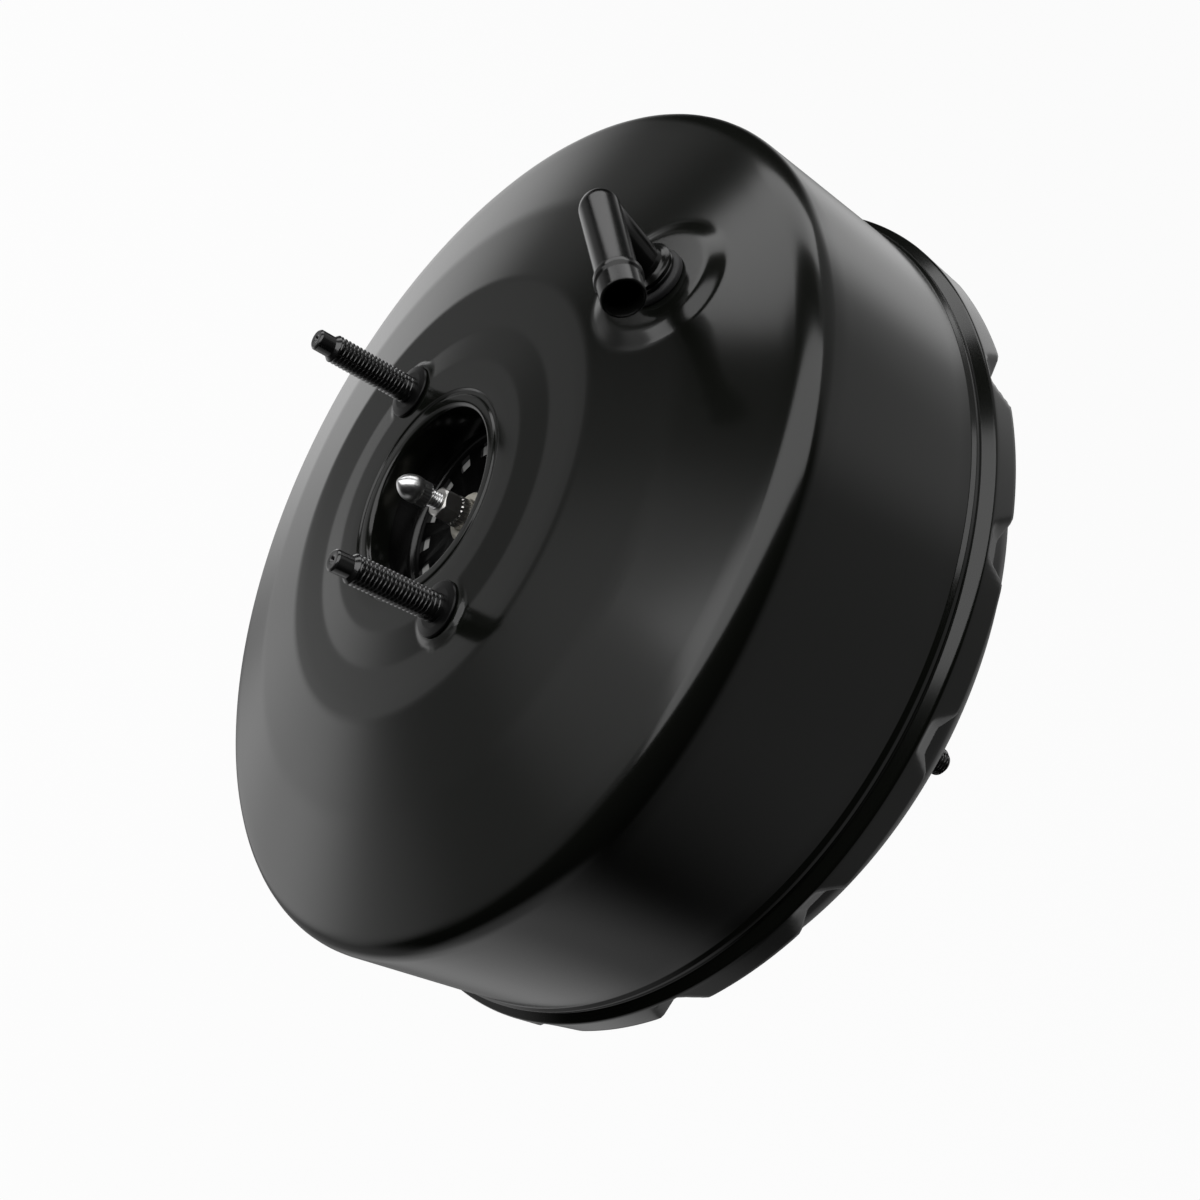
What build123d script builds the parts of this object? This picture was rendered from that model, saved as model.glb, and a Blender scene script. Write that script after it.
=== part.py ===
"""Single-diaphragm vacuum brake booster, with its check valve and both push rods.

Frame, mm: the booster's axis is Y. The firewall face is the plane y = 0 and the master
cylinder side looks towards -Y. +Z points from the axis to the check valve, and +X from the
axis to one of the two master cylinder studs. The origin is the centre of the firewall face.
"""

import os
from math import atan2, cos, pi, radians, sin, sqrt, tan

from build123d import *

os.makedirs("parts", exist_ok=True)

# ---------------------------------------------------------------- clearances
FIT = 0.05  # radial running fit of a shaft in its hole
SNUG = 0.02  # between faces of one body that touch
GAP = 0.3  # between curved faces of pieces that move against each other

# ---------------------------------------------------------------- driving sizes: the shells
BODY_DEPTH = 118.0  # platform to firewall face
FRONT_SHEET = 1.6
PILOT_R = 26.0  # opening for the master cylinder's spigot
COLLAR_DEPTH = 6.0  # how far the opening's collar reaches in from the platform
LIP_BEND = 1.6
SEAT_RISE = 1.2  # the master cylinder's seat stands this proud of the platform
SEAT_R = 41.5
SEAT_SLOPE = 7.0  # radial width of the soft step from the seat to the platform
LIP_GROOVE_R = 31.6
LIP_GROOVE_WIDTH = 2.2
LIP_GROOVE_DEPTH = 0.5
PLATFORM_R = 64.5
CONE_INSET = 34.2  # from the wall in to the cone's change of slope
CONE_MID_DROP = 5.4
CONE_DROP = 15.6  # platform to the meeting point of cone and wall
CORNER_BEND = 8.0
WALL_R = 124.2
WALL_FLARE = 0.3  # draft of the wall over its length
WALL_END = 73.8  # depth behind the platform where the wall turns out to the rim
SKIRT_STEP = 3.3  # from the flared wall out to the rim's skirt
SHOULDER = 3.8  # axial length of the slope from the wall to the skirt
SKIRT_END = 86.0
BEAD_RISE = 0.9  # round bead where the wall meets the rim
BEAD_WIDTH = 2.6

DENTS = 16  # pressed locks in the skirt
DENT_PHASE = 13.5  # turn of the first dent from +X towards +Z, degrees
DENT_DEPTH = 4.2
DENT_FLOOR = 7.0  # width of a dent's flat floor
DENT_LEAD = 0.3  # how far outside the skirt a floor's plane passes the crease
DENT_FLANK = 50.0  # slope of its sides from the radial direction, degrees

REAR_SHEET = 1.6
REAR_WALL_INSET = 9.8  # from the skirt in to the rear wall
REAR_WALL_END = 100.0
REAR_CORNER_BEND = 8.0
MOUNT_FACE_R = 74.0
NECK_R = 30.0
NECK_LENGTH = 28.0
NECK_LIP_R = 25.0

# ---------------------------------------------------------------- driving sizes: studs
STUD_R = 4.0  # M8
STUD_POINT_R = 3.0
STUD_POINT = 4.8
STUD_CHAMFER = 0.7
STUD_HEAD_R = 7.5
STUD_HEAD = 3.0
CYLINDER_STUD_SPACING = 86.0
CYLINDER_STUD_REACH = 33.8  # from the platform to the tip
STUD_WASHER_R = 8.0
STUD_WASHER = 1.3
STUD_PAD_R = 9.2
FIREWALL_SPACING_X = 82.0
FIREWALL_SPACING_Z = 72.0
FIREWALL_STUD_REACH = 27.0
STUD_COLLAR_R = 4.4  # knurled collar pressed into the sheet and its plate
STUD_HOLE_R = STUD_COLLAR_R + FIT

# ---------------------------------------------------------------- driving sizes: plates inside
FRONT_PLATE = 3.0
FRONT_PLATE_IN_R = 31.0
FRONT_PLATE_R = 61.0
FRONT_PLATE_RIM = 4.0
REAR_PLATE = 3.0
REAR_PLATE_IN_R = 24.0
REAR_PLATE_R = 66.0
GUIDE_SHEET = 1.2
GUIDE_FLANGE_R = 35.0
GUIDE_FLOOR = 17.2  # depth of the cage's floor behind the platform
GUIDE_WINDOWS = 16
GUIDE_WINDOW = 4.4
GUIDE_WINDOW_R = 22.8
GUIDE_HUB_R = 9.0
GUIDE_BUSH_R = 7.2
GUIDE_BUSH_FACE = 12.8  # depth of the bush's front face

# ---------------------------------------------------------------- driving sizes: output rod
ROD_R = 4.4
ROD_HEX_AF = 8.0
ROD_HEX = 5.4
ROD_HEX_FACE = 3.4  # depth of the hexagon's front face behind the platform
ROD_SPLINES = 20
ROD_SPLINE_LENGTH = 11.0
ROD_SPLINE_DEPTH = 0.45
ROD_HEAD_R = 12.4
ROD_HEAD = 4.0
TIP_REACH = 10.2  # how far the tip stands out in front of the platform
TIP_R = 3.8
TIP_DOME = 5.8
TIP_HEAD = 10.0  # dome and cylinder together
TIP_THREAD_R = 2.4
TIP_THREAD = 16.0
TIP_ADJUST = 3.0  # how far the tip unscrews

# ---------------------------------------------------------------- driving sizes: power piston
HUB_FRONT = 78.0  # depth of the hub's front face
HUB_R = 31.0
FLANGE_FRONT = 92.0
FLANGE_R = 36.0
FLANGE = 4.0
TUBE_R = 21.5
TUBE_REACH = 64.0  # beyond the firewall face
TUBE_BORE_R = 17.0
RECESS_R = 13.0  # the reaction disc's recess
DISC_THICK = 6.5
PORTS = 4
PORT_R = 16.4
PORT_WIDTH = 3.6
PORT_ARC = 36.0
PLATE_SHEET = 1.5
ROLL_ROOM = 7.0  # between the plate and the rear wall, where the rubber rolls
PLATE_RIM = 9.0
RUBBER = 2.0
BEAD_INSET = 1.0  # from the rear wall in to the rubber bead
BEAD_THICK = 4.4

# ---------------------------------------------------------------- driving sizes: control valve
PLUNGER_R = 6.0
PLUNGER_BODY_R = 8.6
PLUNGER_GROOVE_R = 4.0
PLUNGER_TRAVEL = 1.5
POPPET_TRAVEL = 0.75
PLUNGER_BODY = 12.0
KEY_THICK = 2.4
KEY_WIDTH = 12.0
KEY_REACH = 27.0
SEAT_RING_R = 12.4
SEAT_RING = 1.6
BALL_R = 4.9
BALL_NECK_R = 3.2
POPPET_LIP = 2.4
POPPET_IN_R = 6.9
POPPET_OUT_R = 13.6
POPPET_SLEEVE = 1.6
POPPET_LENGTH = 10.5
RETAINER_SHEET = 1.0
RETAINER_LENGTH = 5.0
INPUT_ROD_R = 5.0  # M10
INPUT_ROD_PITCH_R = 4.5  # of the thread, where rod and lock nut meet
INPUT_ROD_NECK_R = 4.2
INPUT_ROD_REACH = 112.0
INPUT_ROD_THREAD = 32.0
INPUT_ROD_COLLAR_R = 10.0
INPUT_ROD_COLLAR = 2.0
LOCK_NUT_AF = 16.0
LOCK_NUT = 6.0
LOCK_NUT_CONE = 37.0  # slope of the cone on its corners, degrees
LOCK_NUT_FACE = 84.0  # nut's near face beyond the firewall
FILTER_LENGTH = 12.0
FILTER_CLEARANCE = 3.0  # lets the rod tilt

# ---------------------------------------------------------------- driving sizes: springs
RETURN_WIRE_R = 2.1
RETURN_FRONT_R = 56.5
RETURN_REAR_R = 39.0
RETURN_TURNS = 5.0
SMALL_WIRE_R = 0.7
POPPET_SPRING_R = 9.3
ROD_SPRING_R = 9.0
SMALL_TURNS = 3.0
COIL_STEPS = 16  # straight lengths in one turn
COIL_SIDES = 8

# ---------------------------------------------------------------- driving sizes: neck and boot
BUSH_LENGTH = 8.0
NECK_SEAL_LENGTH = 8.0
BOOT_SHEET = 1.5
BOOT_PEAK_R = 37.0
BOOT_VALLEY_R = 30.5
BOOT_FOLDS = 3
BOOT_CUFF = 6.0
BOOT_END_R = 25.0

# ---------------------------------------------------------------- driving sizes: check valve
VALVE_INSET = 37.7  # from the wall in to the valve's boss
BOSS_R = 19.2
BOSS_TOP_R = 14.8
BOSS_RISE = 1.4
GROMMET_HOLE_R = 7.0
GROMMET_R = 8.4
GROMMET_FLANGE = 2.4
VALVE_FLANGE_R = 7.3
VALVE_FLANGE = 1.3
STEM_R = 5.1
STEM_BORE_R = 3.9
STEM_NECK_R = 4.6
STEM_END_R = 4.0
STEM_BARB_R = 5.4
STEM_BARB = 3.0
ELBOW_HEIGHT = 25.0  # of the hose nozzle's axis above the cone
NOZZLE_REACH = 32.5
NOZZLE_R = 5.05
NOZZLE_BORE_R = 4.0
NOZZLE_DOME_OFFSET = 1.3
NOZZLE_RING_R = 5.8
NOZZLE_RING = 2.4
NOZZLE_END = 5.6
NOZZLE_END_R = 5.3
CHECK_DISC_R = 3.5
CHECK_DISC = 1.6
CHECK_SEAT_R = 2.4
CHECK_SPRING = 7.0
CHECK_TRAVEL = 2.2


def behind(depth):
    """y of the plane that lies this far behind the platform."""
    return depth - BODY_DEPTH


def far_side(outline, thickness):
    """The other side of a sheet: its outline moved to the left, with sharp corners."""
    moved = []
    last = len(outline) - 1
    for i, (x, y) in enumerate(outline):
        a, b = outline[max(i - 1, 0)], outline[max(i, 1)]
        c, d = outline[min(i, last - 1)], outline[min(i + 1, last)]
        come = atan2(b[1] - a[1], b[0] - a[0])
        leave = atan2(d[1] - c[1], d[0] - c[0])
        reach = thickness / cos((leave - come) / 2)
        moved.append((x - reach * sin((come + leave) / 2), y + reach * cos((come + leave) / 2)))
    return moved


def sheet_section(outline, thickness, bends):
    """Closed section of a sheet to the left of its outline; bends maps a corner to its radius."""
    other = far_side(outline, thickness)
    radii = [bends.get(i, 0) for i in range(1, len(outline) - 1)]
    inner = [max(r - thickness, 0) for r in radii]
    bent = [0, *radii, 0, 0, *reversed(inner), 0]
    FilletPolyline(*outline, *reversed(other), outline[0], radius=bent)


def turned(tool, count, first=0.0):
    """Copies of a tool, equally spaced around the booster's axis from +X towards +Z."""
    return [tool.part.rotate(Axis.Y, -(first + i * 360.0 / count)) for i in range(count)]


def finish(piece, name):
    """Label a finished piece and write its STEP file."""
    piece.part.label = name
    export_step(piece.part, f"parts/{name}.step")


# ================================================================ front shell
CONE_MID_R = WALL_R - CONE_INSET
SKIRT_R = WALL_R + WALL_FLARE + SKIRT_STEP
VALVE_R = WALL_R - VALVE_INSET
# Slope of the cone, at the check valve's place.
CONE_SLOPE = atan2(CONE_DROP - CONE_MID_DROP, WALL_R - CONE_MID_R)
CONE_NEAR_SLOPE = atan2(CONE_MID_DROP, CONE_MID_R - PLATFORM_R)
VALVE_DEPTH = CONE_MID_DROP - (CONE_MID_R - VALVE_R) * tan(CONE_NEAR_SLOPE)
VALVE_TILT = (CONE_SLOPE + CONE_NEAR_SLOPE) / 2
VALVE_PLANE = Plane(
    origin=(0, behind(VALVE_DEPTH), VALVE_R),
    x_dir=(1, 0, 0),
    z_dir=(0, -cos(VALVE_TILT), sin(VALVE_TILT)),
)

# One locking dent: its floor leaves the skirt at the crease and reaches its depth at the edge.
DENT_START = WALL_END + SHOULDER
DENT_LENGTH = SKIRT_END - DENT_START
DENT_SLOPE = atan2(DENT_DEPTH + DENT_LEAD, DENT_LENGTH)
DENT_REACH = DENT_LENGTH + 2 * FRONT_SHEET


def dent_plane(sink):
    """The floor of a dent at +X, sunk by this much, with its normal out of the booster."""
    lean = sink / cos(DENT_SLOPE)
    return Plane(
        origin=(SKIRT_R + DENT_LEAD - lean, behind(DENT_START), 0),
        x_dir=(-sin(DENT_SLOPE), cos(DENT_SLOPE), 0),
        z_dir=(cos(DENT_SLOPE), sin(DENT_SLOPE), 0),
    )


with BuildPart() as dent_hollow:
    with BuildSketch(dent_plane(0)):
        Rectangle(2 * DENT_REACH, DENT_FLOOR, align=(Align.CENTER, Align.CENTER))
    extrude(amount=2 * DENT_DEPTH, taper=-DENT_FLANK)

with BuildPart() as dent_sheet:
    with BuildSketch(dent_plane(FRONT_SHEET)):
        Rectangle(
            2 * DENT_REACH,
            DENT_FLOOR + 2 * FRONT_SHEET * tan(radians(90 - DENT_FLANK) / 2),
            align=(Align.CENTER, Align.CENTER),
        )
    extrude(amount=DENT_DEPTH + 2 * FRONT_SHEET, taper=-DENT_FLANK)
    # Only the part inside the skirt's own band is metal.
    with BuildSketch(Plane.XZ.offset(-behind(DENT_START))):
        Circle(SKIRT_R - FRONT_SHEET / 2)
        Circle(SKIRT_R - DENT_DEPTH - 3 * FRONT_SHEET, mode=Mode.SUBTRACT)
    extrude(amount=-DENT_LENGTH, mode=Mode.INTERSECT)

FRONT_OUTLINE = [
    (PILOT_R, behind(COLLAR_DEPTH)),
    (PILOT_R, behind(LIP_BEND - SEAT_RISE)),
    (PILOT_R + LIP_BEND, behind(-SEAT_RISE)),
    (SEAT_R, behind(-SEAT_RISE)),
    (SEAT_R + SEAT_SLOPE, behind(0)),
    (PLATFORM_R, behind(0)),
    (CONE_MID_R, behind(CONE_MID_DROP)),
    (WALL_R, behind(CONE_DROP)),
    (WALL_R + WALL_FLARE, behind(WALL_END)),
    (SKIRT_R, behind(DENT_START)),
    (SKIRT_R, behind(SKIRT_END)),
]
with BuildPart() as front_shell:
    with BuildSketch(Plane.XY):
        with BuildLine():
            sheet_section(FRONT_OUTLINE, FRONT_SHEET, {7: CORNER_BEND})
        make_face()
    revolve(axis=Axis.Y)
    # Shallow groove around the lip of the opening.
    with BuildSketch(Plane.XY):
        with Locations((LIP_GROOVE_R, behind(-SEAT_RISE))):
            Rectangle(LIP_GROOVE_WIDTH, 2 * LIP_GROOVE_DEPTH)
    revolve(axis=Axis.Y, mode=Mode.SUBTRACT)
    # Raised bead at the foot of the rim.
    with BuildSketch(Plane.XY):
        with Locations((WALL_R + WALL_FLARE, behind(WALL_END))):
            Trapezoid(BEAD_WIDTH, 2 * BEAD_RISE, 60, rotation=-90)
    revolve(axis=Axis.Y)
    # Pads under the two studs.
    with BuildSketch(Plane.XZ.offset(-behind(FRONT_SHEET))):
        with Locations((-CYLINDER_STUD_SPACING / 2, 0), (CYLINDER_STUD_SPACING / 2, 0)):
            Circle(STUD_PAD_R)
    extrude(amount=FRONT_SHEET + SEAT_RISE)
    # Raised boss for the check valve, pressed from inside.
    with BuildSketch(VALVE_PLANE.offset(-FRONT_SHEET / 2)):
        Circle(BOSS_R)
    with BuildSketch(VALVE_PLANE.offset(BOSS_RISE)):
        Circle(BOSS_TOP_R)
    loft()
    with BuildSketch(VALVE_PLANE.offset(-2 * FRONT_SHEET)):
        Circle(BOSS_R - FRONT_SHEET)
    with BuildSketch(VALVE_PLANE.offset(BOSS_RISE - FRONT_SHEET)):
        Circle(BOSS_TOP_R - FRONT_SHEET)
    loft(mode=Mode.SUBTRACT)
    with BuildSketch(VALVE_PLANE.offset(-3 * FRONT_SHEET)):
        Circle(GROMMET_HOLE_R)
    extrude(amount=6 * FRONT_SHEET, mode=Mode.SUBTRACT)
    # Locking dents round the skirt.
    add(turned(dent_sheet, DENTS, DENT_PHASE))
    add(turned(dent_hollow, DENTS, DENT_PHASE), mode=Mode.SUBTRACT)
    with BuildSketch(Plane.XZ.offset(-behind(0))):
        with Locations((-CYLINDER_STUD_SPACING / 2, 0), (CYLINDER_STUD_SPACING / 2, 0)):
            Circle(STUD_HOLE_R)
    extrude(amount=4 * FRONT_SHEET, both=True, mode=Mode.SUBTRACT)
finish(front_shell, "front_shell")

# ================================================================ master cylinder studs
CYLINDER_STUDS = [(-CYLINDER_STUD_SPACING / 2, 0), (CYLINDER_STUD_SPACING / 2, 0)]
SEAT_Y = behind(-SEAT_RISE)
FRONT_PLATE_FACE = behind(FRONT_SHEET)
FRONT_HEAD_FACE = FRONT_PLATE_FACE + FRONT_PLATE
CYLINDER_STUD_TIP = behind(-CYLINDER_STUD_REACH)
WASHER_FACE = SEAT_Y - STUD_WASHER


def stud_profile(tip, seat, foot, way):
    """Half outline of a stud from its pointed tip to the foot of its head, revolved later.

    The thread ends at the seat of the part that is bolted on. way is +1 where the stud
    points to +Y and -1 where it points to -Y.
    """
    point = STUD_POINT * way
    FilletPolyline(
        (0, tip),
        (STUD_POINT_R - STUD_CHAMFER / 2, tip),
        (STUD_POINT_R, tip - STUD_CHAMFER / 2 * way),
        (STUD_POINT_R, tip - point),
        (STUD_R, tip - point - STUD_CHAMFER * way),
        (STUD_R, seat),
        (STUD_COLLAR_R, seat),
        (STUD_COLLAR_R, foot),
        (STUD_HEAD_R, foot),
        (STUD_HEAD_R, foot - STUD_HEAD * way),
        (0, foot - STUD_HEAD * way),
        (0, tip),
        radius=0,
    )


with BuildPart() as cylinder_stud:
    with BuildSketch(Plane.XY):
        with BuildLine():
            stud_profile(CYLINDER_STUD_TIP, WASHER_FACE, FRONT_HEAD_FACE, -1)
        make_face()
    revolve(axis=Axis.Y)

with BuildPart() as master_cylinder_studs:
    for x, z in CYLINDER_STUDS:
        add(cylinder_stud.part.moved(Location((x, 0, z))))
finish(master_cylinder_studs, "master_cylinder_studs")

with BuildPart() as stud_washers:
    with BuildSketch(Plane.XZ.offset(-SEAT_Y)):
        with Locations(*CYLINDER_STUDS):
            Circle(STUD_WASHER_R)
            Circle(STUD_HOLE_R, mode=Mode.SUBTRACT)
    extrude(amount=STUD_WASHER)
finish(stud_washers, "stud_washers")

# ================================================================ front plate and rod guide
with BuildPart() as front_plate:
    with BuildSketch(Plane.XY):
        with BuildLine():
            Polyline(
                (FRONT_PLATE_IN_R, FRONT_PLATE_FACE),
                (FRONT_PLATE_R, FRONT_PLATE_FACE),
                (FRONT_PLATE_R, FRONT_HEAD_FACE + FRONT_PLATE_RIM),
                (FRONT_PLATE_R - FRONT_PLATE / 2, FRONT_HEAD_FACE + FRONT_PLATE_RIM),
                (FRONT_PLATE_R - FRONT_PLATE / 2, FRONT_HEAD_FACE),
                (FRONT_PLATE_IN_R, FRONT_HEAD_FACE),
                close=True,
            )
        make_face()
    revolve(axis=Axis.Y)
    with BuildSketch(Plane.XZ.offset(-FRONT_PLATE_FACE)):
        with Locations(*CYLINDER_STUDS):
            Circle(STUD_HOLE_R)
    extrude(amount=-FRONT_PLATE, mode=Mode.SUBTRACT)
finish(front_plate, "front_plate")

# The cage stands round the opening's collar and carries the bush that centres the rod.
GUIDE_IN_R = PILOT_R + FRONT_SHEET + GAP
GUIDE_FLOOR_Y = behind(GUIDE_FLOOR)
GUIDE_BUSH_Y = behind(GUIDE_BUSH_FACE)
with BuildPart() as rod_guide:
    with BuildSketch(Plane.XY):
        with BuildLine():
            Polyline(
                (GUIDE_FLANGE_R, FRONT_HEAD_FACE),
                (GUIDE_IN_R, FRONT_HEAD_FACE),
                (GUIDE_IN_R, GUIDE_FLOOR_Y - GUIDE_SHEET),
                (GUIDE_HUB_R, GUIDE_FLOOR_Y - GUIDE_SHEET),
                (GUIDE_BUSH_R + SNUG, GUIDE_BUSH_Y),
                (GUIDE_BUSH_R + SNUG, GUIDE_FLOOR_Y),
                (GUIDE_IN_R + GUIDE_SHEET, GUIDE_FLOOR_Y),
                (GUIDE_IN_R + GUIDE_SHEET, FRONT_HEAD_FACE + GUIDE_SHEET),
                (GUIDE_FLANGE_R, FRONT_HEAD_FACE + GUIDE_SHEET),
                close=True,
            )
        make_face()
    revolve(axis=Axis.Y)
    with BuildSketch(Plane.XZ.offset(-GUIDE_FLOOR_Y)):
        with PolarLocations(GUIDE_WINDOW_R, GUIDE_WINDOWS):
            Rectangle(GUIDE_WINDOW, GUIDE_WINDOW)
    extrude(amount=2 * GUIDE_SHEET, both=True, mode=Mode.SUBTRACT)
finish(rod_guide, "rod_guide")

with BuildPart() as rod_guide_ring:
    with BuildSketch(Plane.XZ.offset(-GUIDE_FLOOR_Y)):
        Circle(GUIDE_WINDOW_R + GUIDE_WINDOW)
        Circle(GUIDE_WINDOW_R - GUIDE_WINDOW, mode=Mode.SUBTRACT)
    extrude(amount=-GUIDE_SHEET)
finish(rod_guide_ring, "rod_guide_ring")

with BuildPart() as rod_guide_bush:
    with BuildSketch(Plane.XZ.offset(-GUIDE_BUSH_Y)):
        Circle(GUIDE_BUSH_R)
        Circle(ROD_R + FIT, mode=Mode.SUBTRACT)
    extrude(amount=GUIDE_BUSH_Y - GUIDE_FLOOR_Y)
finish(rod_guide_bush, "rod_guide_bush")

# ================================================================ output rod
ROD_FRONT = behind(ROD_HEX_FACE)
ROD_HEX_END = ROD_FRONT + ROD_HEX
RECESS_END = behind(FLANGE_FRONT)
DISC_FRONT = RECESS_END - DISC_THICK
ROD_HEAD_FRONT = DISC_FRONT - ROD_HEAD
TIP_Y = behind(-TIP_REACH)
with BuildPart() as output_rod:
    with BuildSketch(Plane.XZ.offset(-ROD_HEX_END)):
        RegularPolygon(ROD_HEX_AF / 2, 6, major_radius=False)
    extrude(amount=ROD_HEX)
    chamfer(faces().sort_by(Axis.Y)[0].edges(), length=0.5)
    with BuildSketch(Plane.XZ.offset(-ROD_HEX_END)):
        Circle(ROD_R)
    extrude(amount=ROD_HEX_END - ROD_HEAD_FRONT)
    with BuildSketch(Plane.XZ.offset(-ROD_HEAD_FRONT)):
        Circle(ROD_HEAD_R)
    extrude(amount=-ROD_HEAD)
    # Splines that hold the rod while the tip is adjusted.
    with BuildSketch(Plane.XZ.offset(-ROD_HEX_END)):
        with PolarLocations(ROD_R, ROD_SPLINES):
            Rectangle(2 * ROD_SPLINE_DEPTH, ROD_SPLINE_DEPTH, rotation=45)
    extrude(amount=-ROD_SPLINE_LENGTH, mode=Mode.SUBTRACT)
    with BuildSketch(Plane.XZ.offset(-ROD_FRONT)):
        Circle(TIP_THREAD_R + FIT)
    extrude(amount=-TIP_THREAD - TIP_ADJUST, mode=Mode.SUBTRACT)
finish(output_rod, "output_rod")

TIP_SHANK_END = TIP_Y + TIP_HEAD + TIP_THREAD
# The dome is a pointed arch that meets the head without a corner.
TIP_ARC_R = (TIP_R**2 + TIP_DOME**2) / (2 * TIP_R)
TIP_MID_R = TIP_R - TIP_ARC_R + sqrt(TIP_ARC_R**2 - (TIP_DOME / 2) ** 2)
with BuildPart() as output_rod_tip:
    with BuildSketch(Plane.XY):
        with BuildLine():
            shoulder = TIP_Y + TIP_DOME
            ThreePointArc((0, TIP_Y), (TIP_MID_R, TIP_Y + TIP_DOME / 2), (TIP_R, shoulder))
            Polyline(
                (TIP_R, shoulder),
                (TIP_R, TIP_Y + TIP_HEAD),
                (TIP_THREAD_R, TIP_Y + TIP_HEAD),
                (TIP_THREAD_R, TIP_SHANK_END),
                (0, TIP_SHANK_END),
                (0, TIP_Y),
            )
        make_face()
    revolve(axis=Axis.Y)
finish(output_rod_tip, "output_rod_tip")

with BuildPart() as reaction_disc:
    with BuildSketch(Plane.XZ.offset(-RECESS_END)):
        Circle(RECESS_R - GAP)
    extrude(amount=DISC_THICK)
finish(reaction_disc, "reaction_disc")

RETAINER_Y = ROD_HEAD_FRONT
with BuildPart() as output_rod_retainer:
    with BuildSketch(Plane.XZ.offset(-RETAINER_Y)):
        Circle(RECESS_R - SNUG)
        Circle(ROD_R + GAP, mode=Mode.SUBTRACT)
        with PolarLocations(RECESS_R - 3, 4):
            SlotOverall(4.5, 2.2, rotation=90, mode=Mode.SUBTRACT)
    extrude(amount=RETAINER_SHEET)
finish(output_rod_retainer, "output_rod_retainer")

# ================================================================ rear shell
# Its rim lies inside the skirt, on the diaphragm's bead, with the dents pressed in behind it.
REAR_WALL_R = SKIRT_R - REAR_WALL_INSET
RIM_FACE = behind(DENT_START + BEAD_THICK)
RIM_BACK = RIM_FACE + REAR_SHEET
DENT_IN_R = SKIRT_R + DENT_LEAD - (RIM_BACK - behind(DENT_START)) * tan(DENT_SLOPE)
RIM_R = DENT_IN_R - FRONT_SHEET / cos(DENT_SLOPE) - GAP / 2
FIREWALL_STUDS = [
    (x * FIREWALL_SPACING_X / 2, z * FIREWALL_SPACING_Z / 2) for x in (-1, 1) for z in (-1, 1)
]
REAR_OUTLINE = [
    (RIM_R, RIM_BACK),
    (REAR_WALL_R, RIM_BACK),
    (REAR_WALL_R, behind(REAR_WALL_END)),
    (MOUNT_FACE_R, 0),
    (NECK_R, 0),
    (NECK_R, NECK_LENGTH),
    (NECK_LIP_R, NECK_LENGTH),
]
with BuildPart() as rear_shell:
    with BuildSketch(Plane.XY):
        with BuildLine():
            sheet_section(REAR_OUTLINE, REAR_SHEET, {2: REAR_CORNER_BEND})
        make_face()
    revolve(axis=Axis.Y)
    with BuildSketch(Plane.XZ):
        with Locations(*FIREWALL_STUDS):
            Circle(STUD_HOLE_R)
    extrude(amount=2 * REAR_SHEET, both=True, mode=Mode.SUBTRACT)
finish(rear_shell, "rear_shell")

REAR_PLATE_BACK = -REAR_SHEET
REAR_PLATE_FACE = REAR_PLATE_BACK - REAR_PLATE
with BuildPart() as rear_plate:
    with BuildSketch(Plane.XZ.offset(-REAR_PLATE_BACK)):
        Circle(REAR_PLATE_R)
        Circle(REAR_PLATE_IN_R, mode=Mode.SUBTRACT)
        with Locations(*FIREWALL_STUDS):
            Circle(STUD_HOLE_R, mode=Mode.SUBTRACT)
    extrude(amount=REAR_PLATE)
finish(rear_plate, "rear_plate")

with BuildPart() as firewall_stud:
    with BuildSketch(Plane.XY):
        with BuildLine():
            stud_profile(FIREWALL_STUD_REACH, 0, REAR_PLATE_FACE, 1)
        make_face()
    revolve(axis=Axis.Y)

with BuildPart() as firewall_studs:
    for x, z in FIREWALL_STUDS:
        add(firewall_stud.part.moved(Location((x, 0, z))))
finish(firewall_studs, "firewall_studs")


def ring(inner, outer, start, length):
    """A ring round the booster's axis, from the plane y = start towards +Y."""
    with BuildPart() as plain_ring:
        with BuildSketch(Plane.XZ.offset(-start)):
            Circle(outer)
            Circle(inner, mode=Mode.SUBTRACT)
        extrude(amount=-length)
    return plain_ring.part


# ================================================================ neck bush and seal
NECK_BORE_R = NECK_R - REAR_SHEET
BUSH_END = NECK_LENGTH - REAR_SHEET
BUSH_START = BUSH_END - BUSH_LENGTH
SEAL_START = BUSH_START - NECK_SEAL_LENGTH
with BuildPart() as neck_bush:
    add(ring(TUBE_R + FIT, NECK_BORE_R, BUSH_START, BUSH_LENGTH))
finish(neck_bush, "neck_bush")

with BuildPart() as neck_seal:
    with BuildSketch(Plane.XY):
        with BuildLine():
            middle = (TUBE_R + NECK_BORE_R) / 2
            Polyline(
                (TUBE_R + FIT, SEAL_START),
                (middle - RUBBER / 2, SEAL_START + RUBBER),
                (middle + RUBBER / 2, SEAL_START + RUBBER),
                (NECK_BORE_R, SEAL_START),
                (NECK_BORE_R, BUSH_START),
                (TUBE_R + GAP, BUSH_START),
                (TUBE_R + GAP, SEAL_START + 2 * RUBBER),
                (TUBE_R + FIT, SEAL_START + RUBBER),
                close=True,
            )
        make_face()
    revolve(axis=Axis.Y)
finish(neck_seal, "neck_seal")

# ================================================================ power piston
HUB_Y = behind(HUB_FRONT)
FLANGE_Y = behind(FLANGE_FRONT)
FLANGE_BACK = FLANGE_Y + FLANGE
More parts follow.
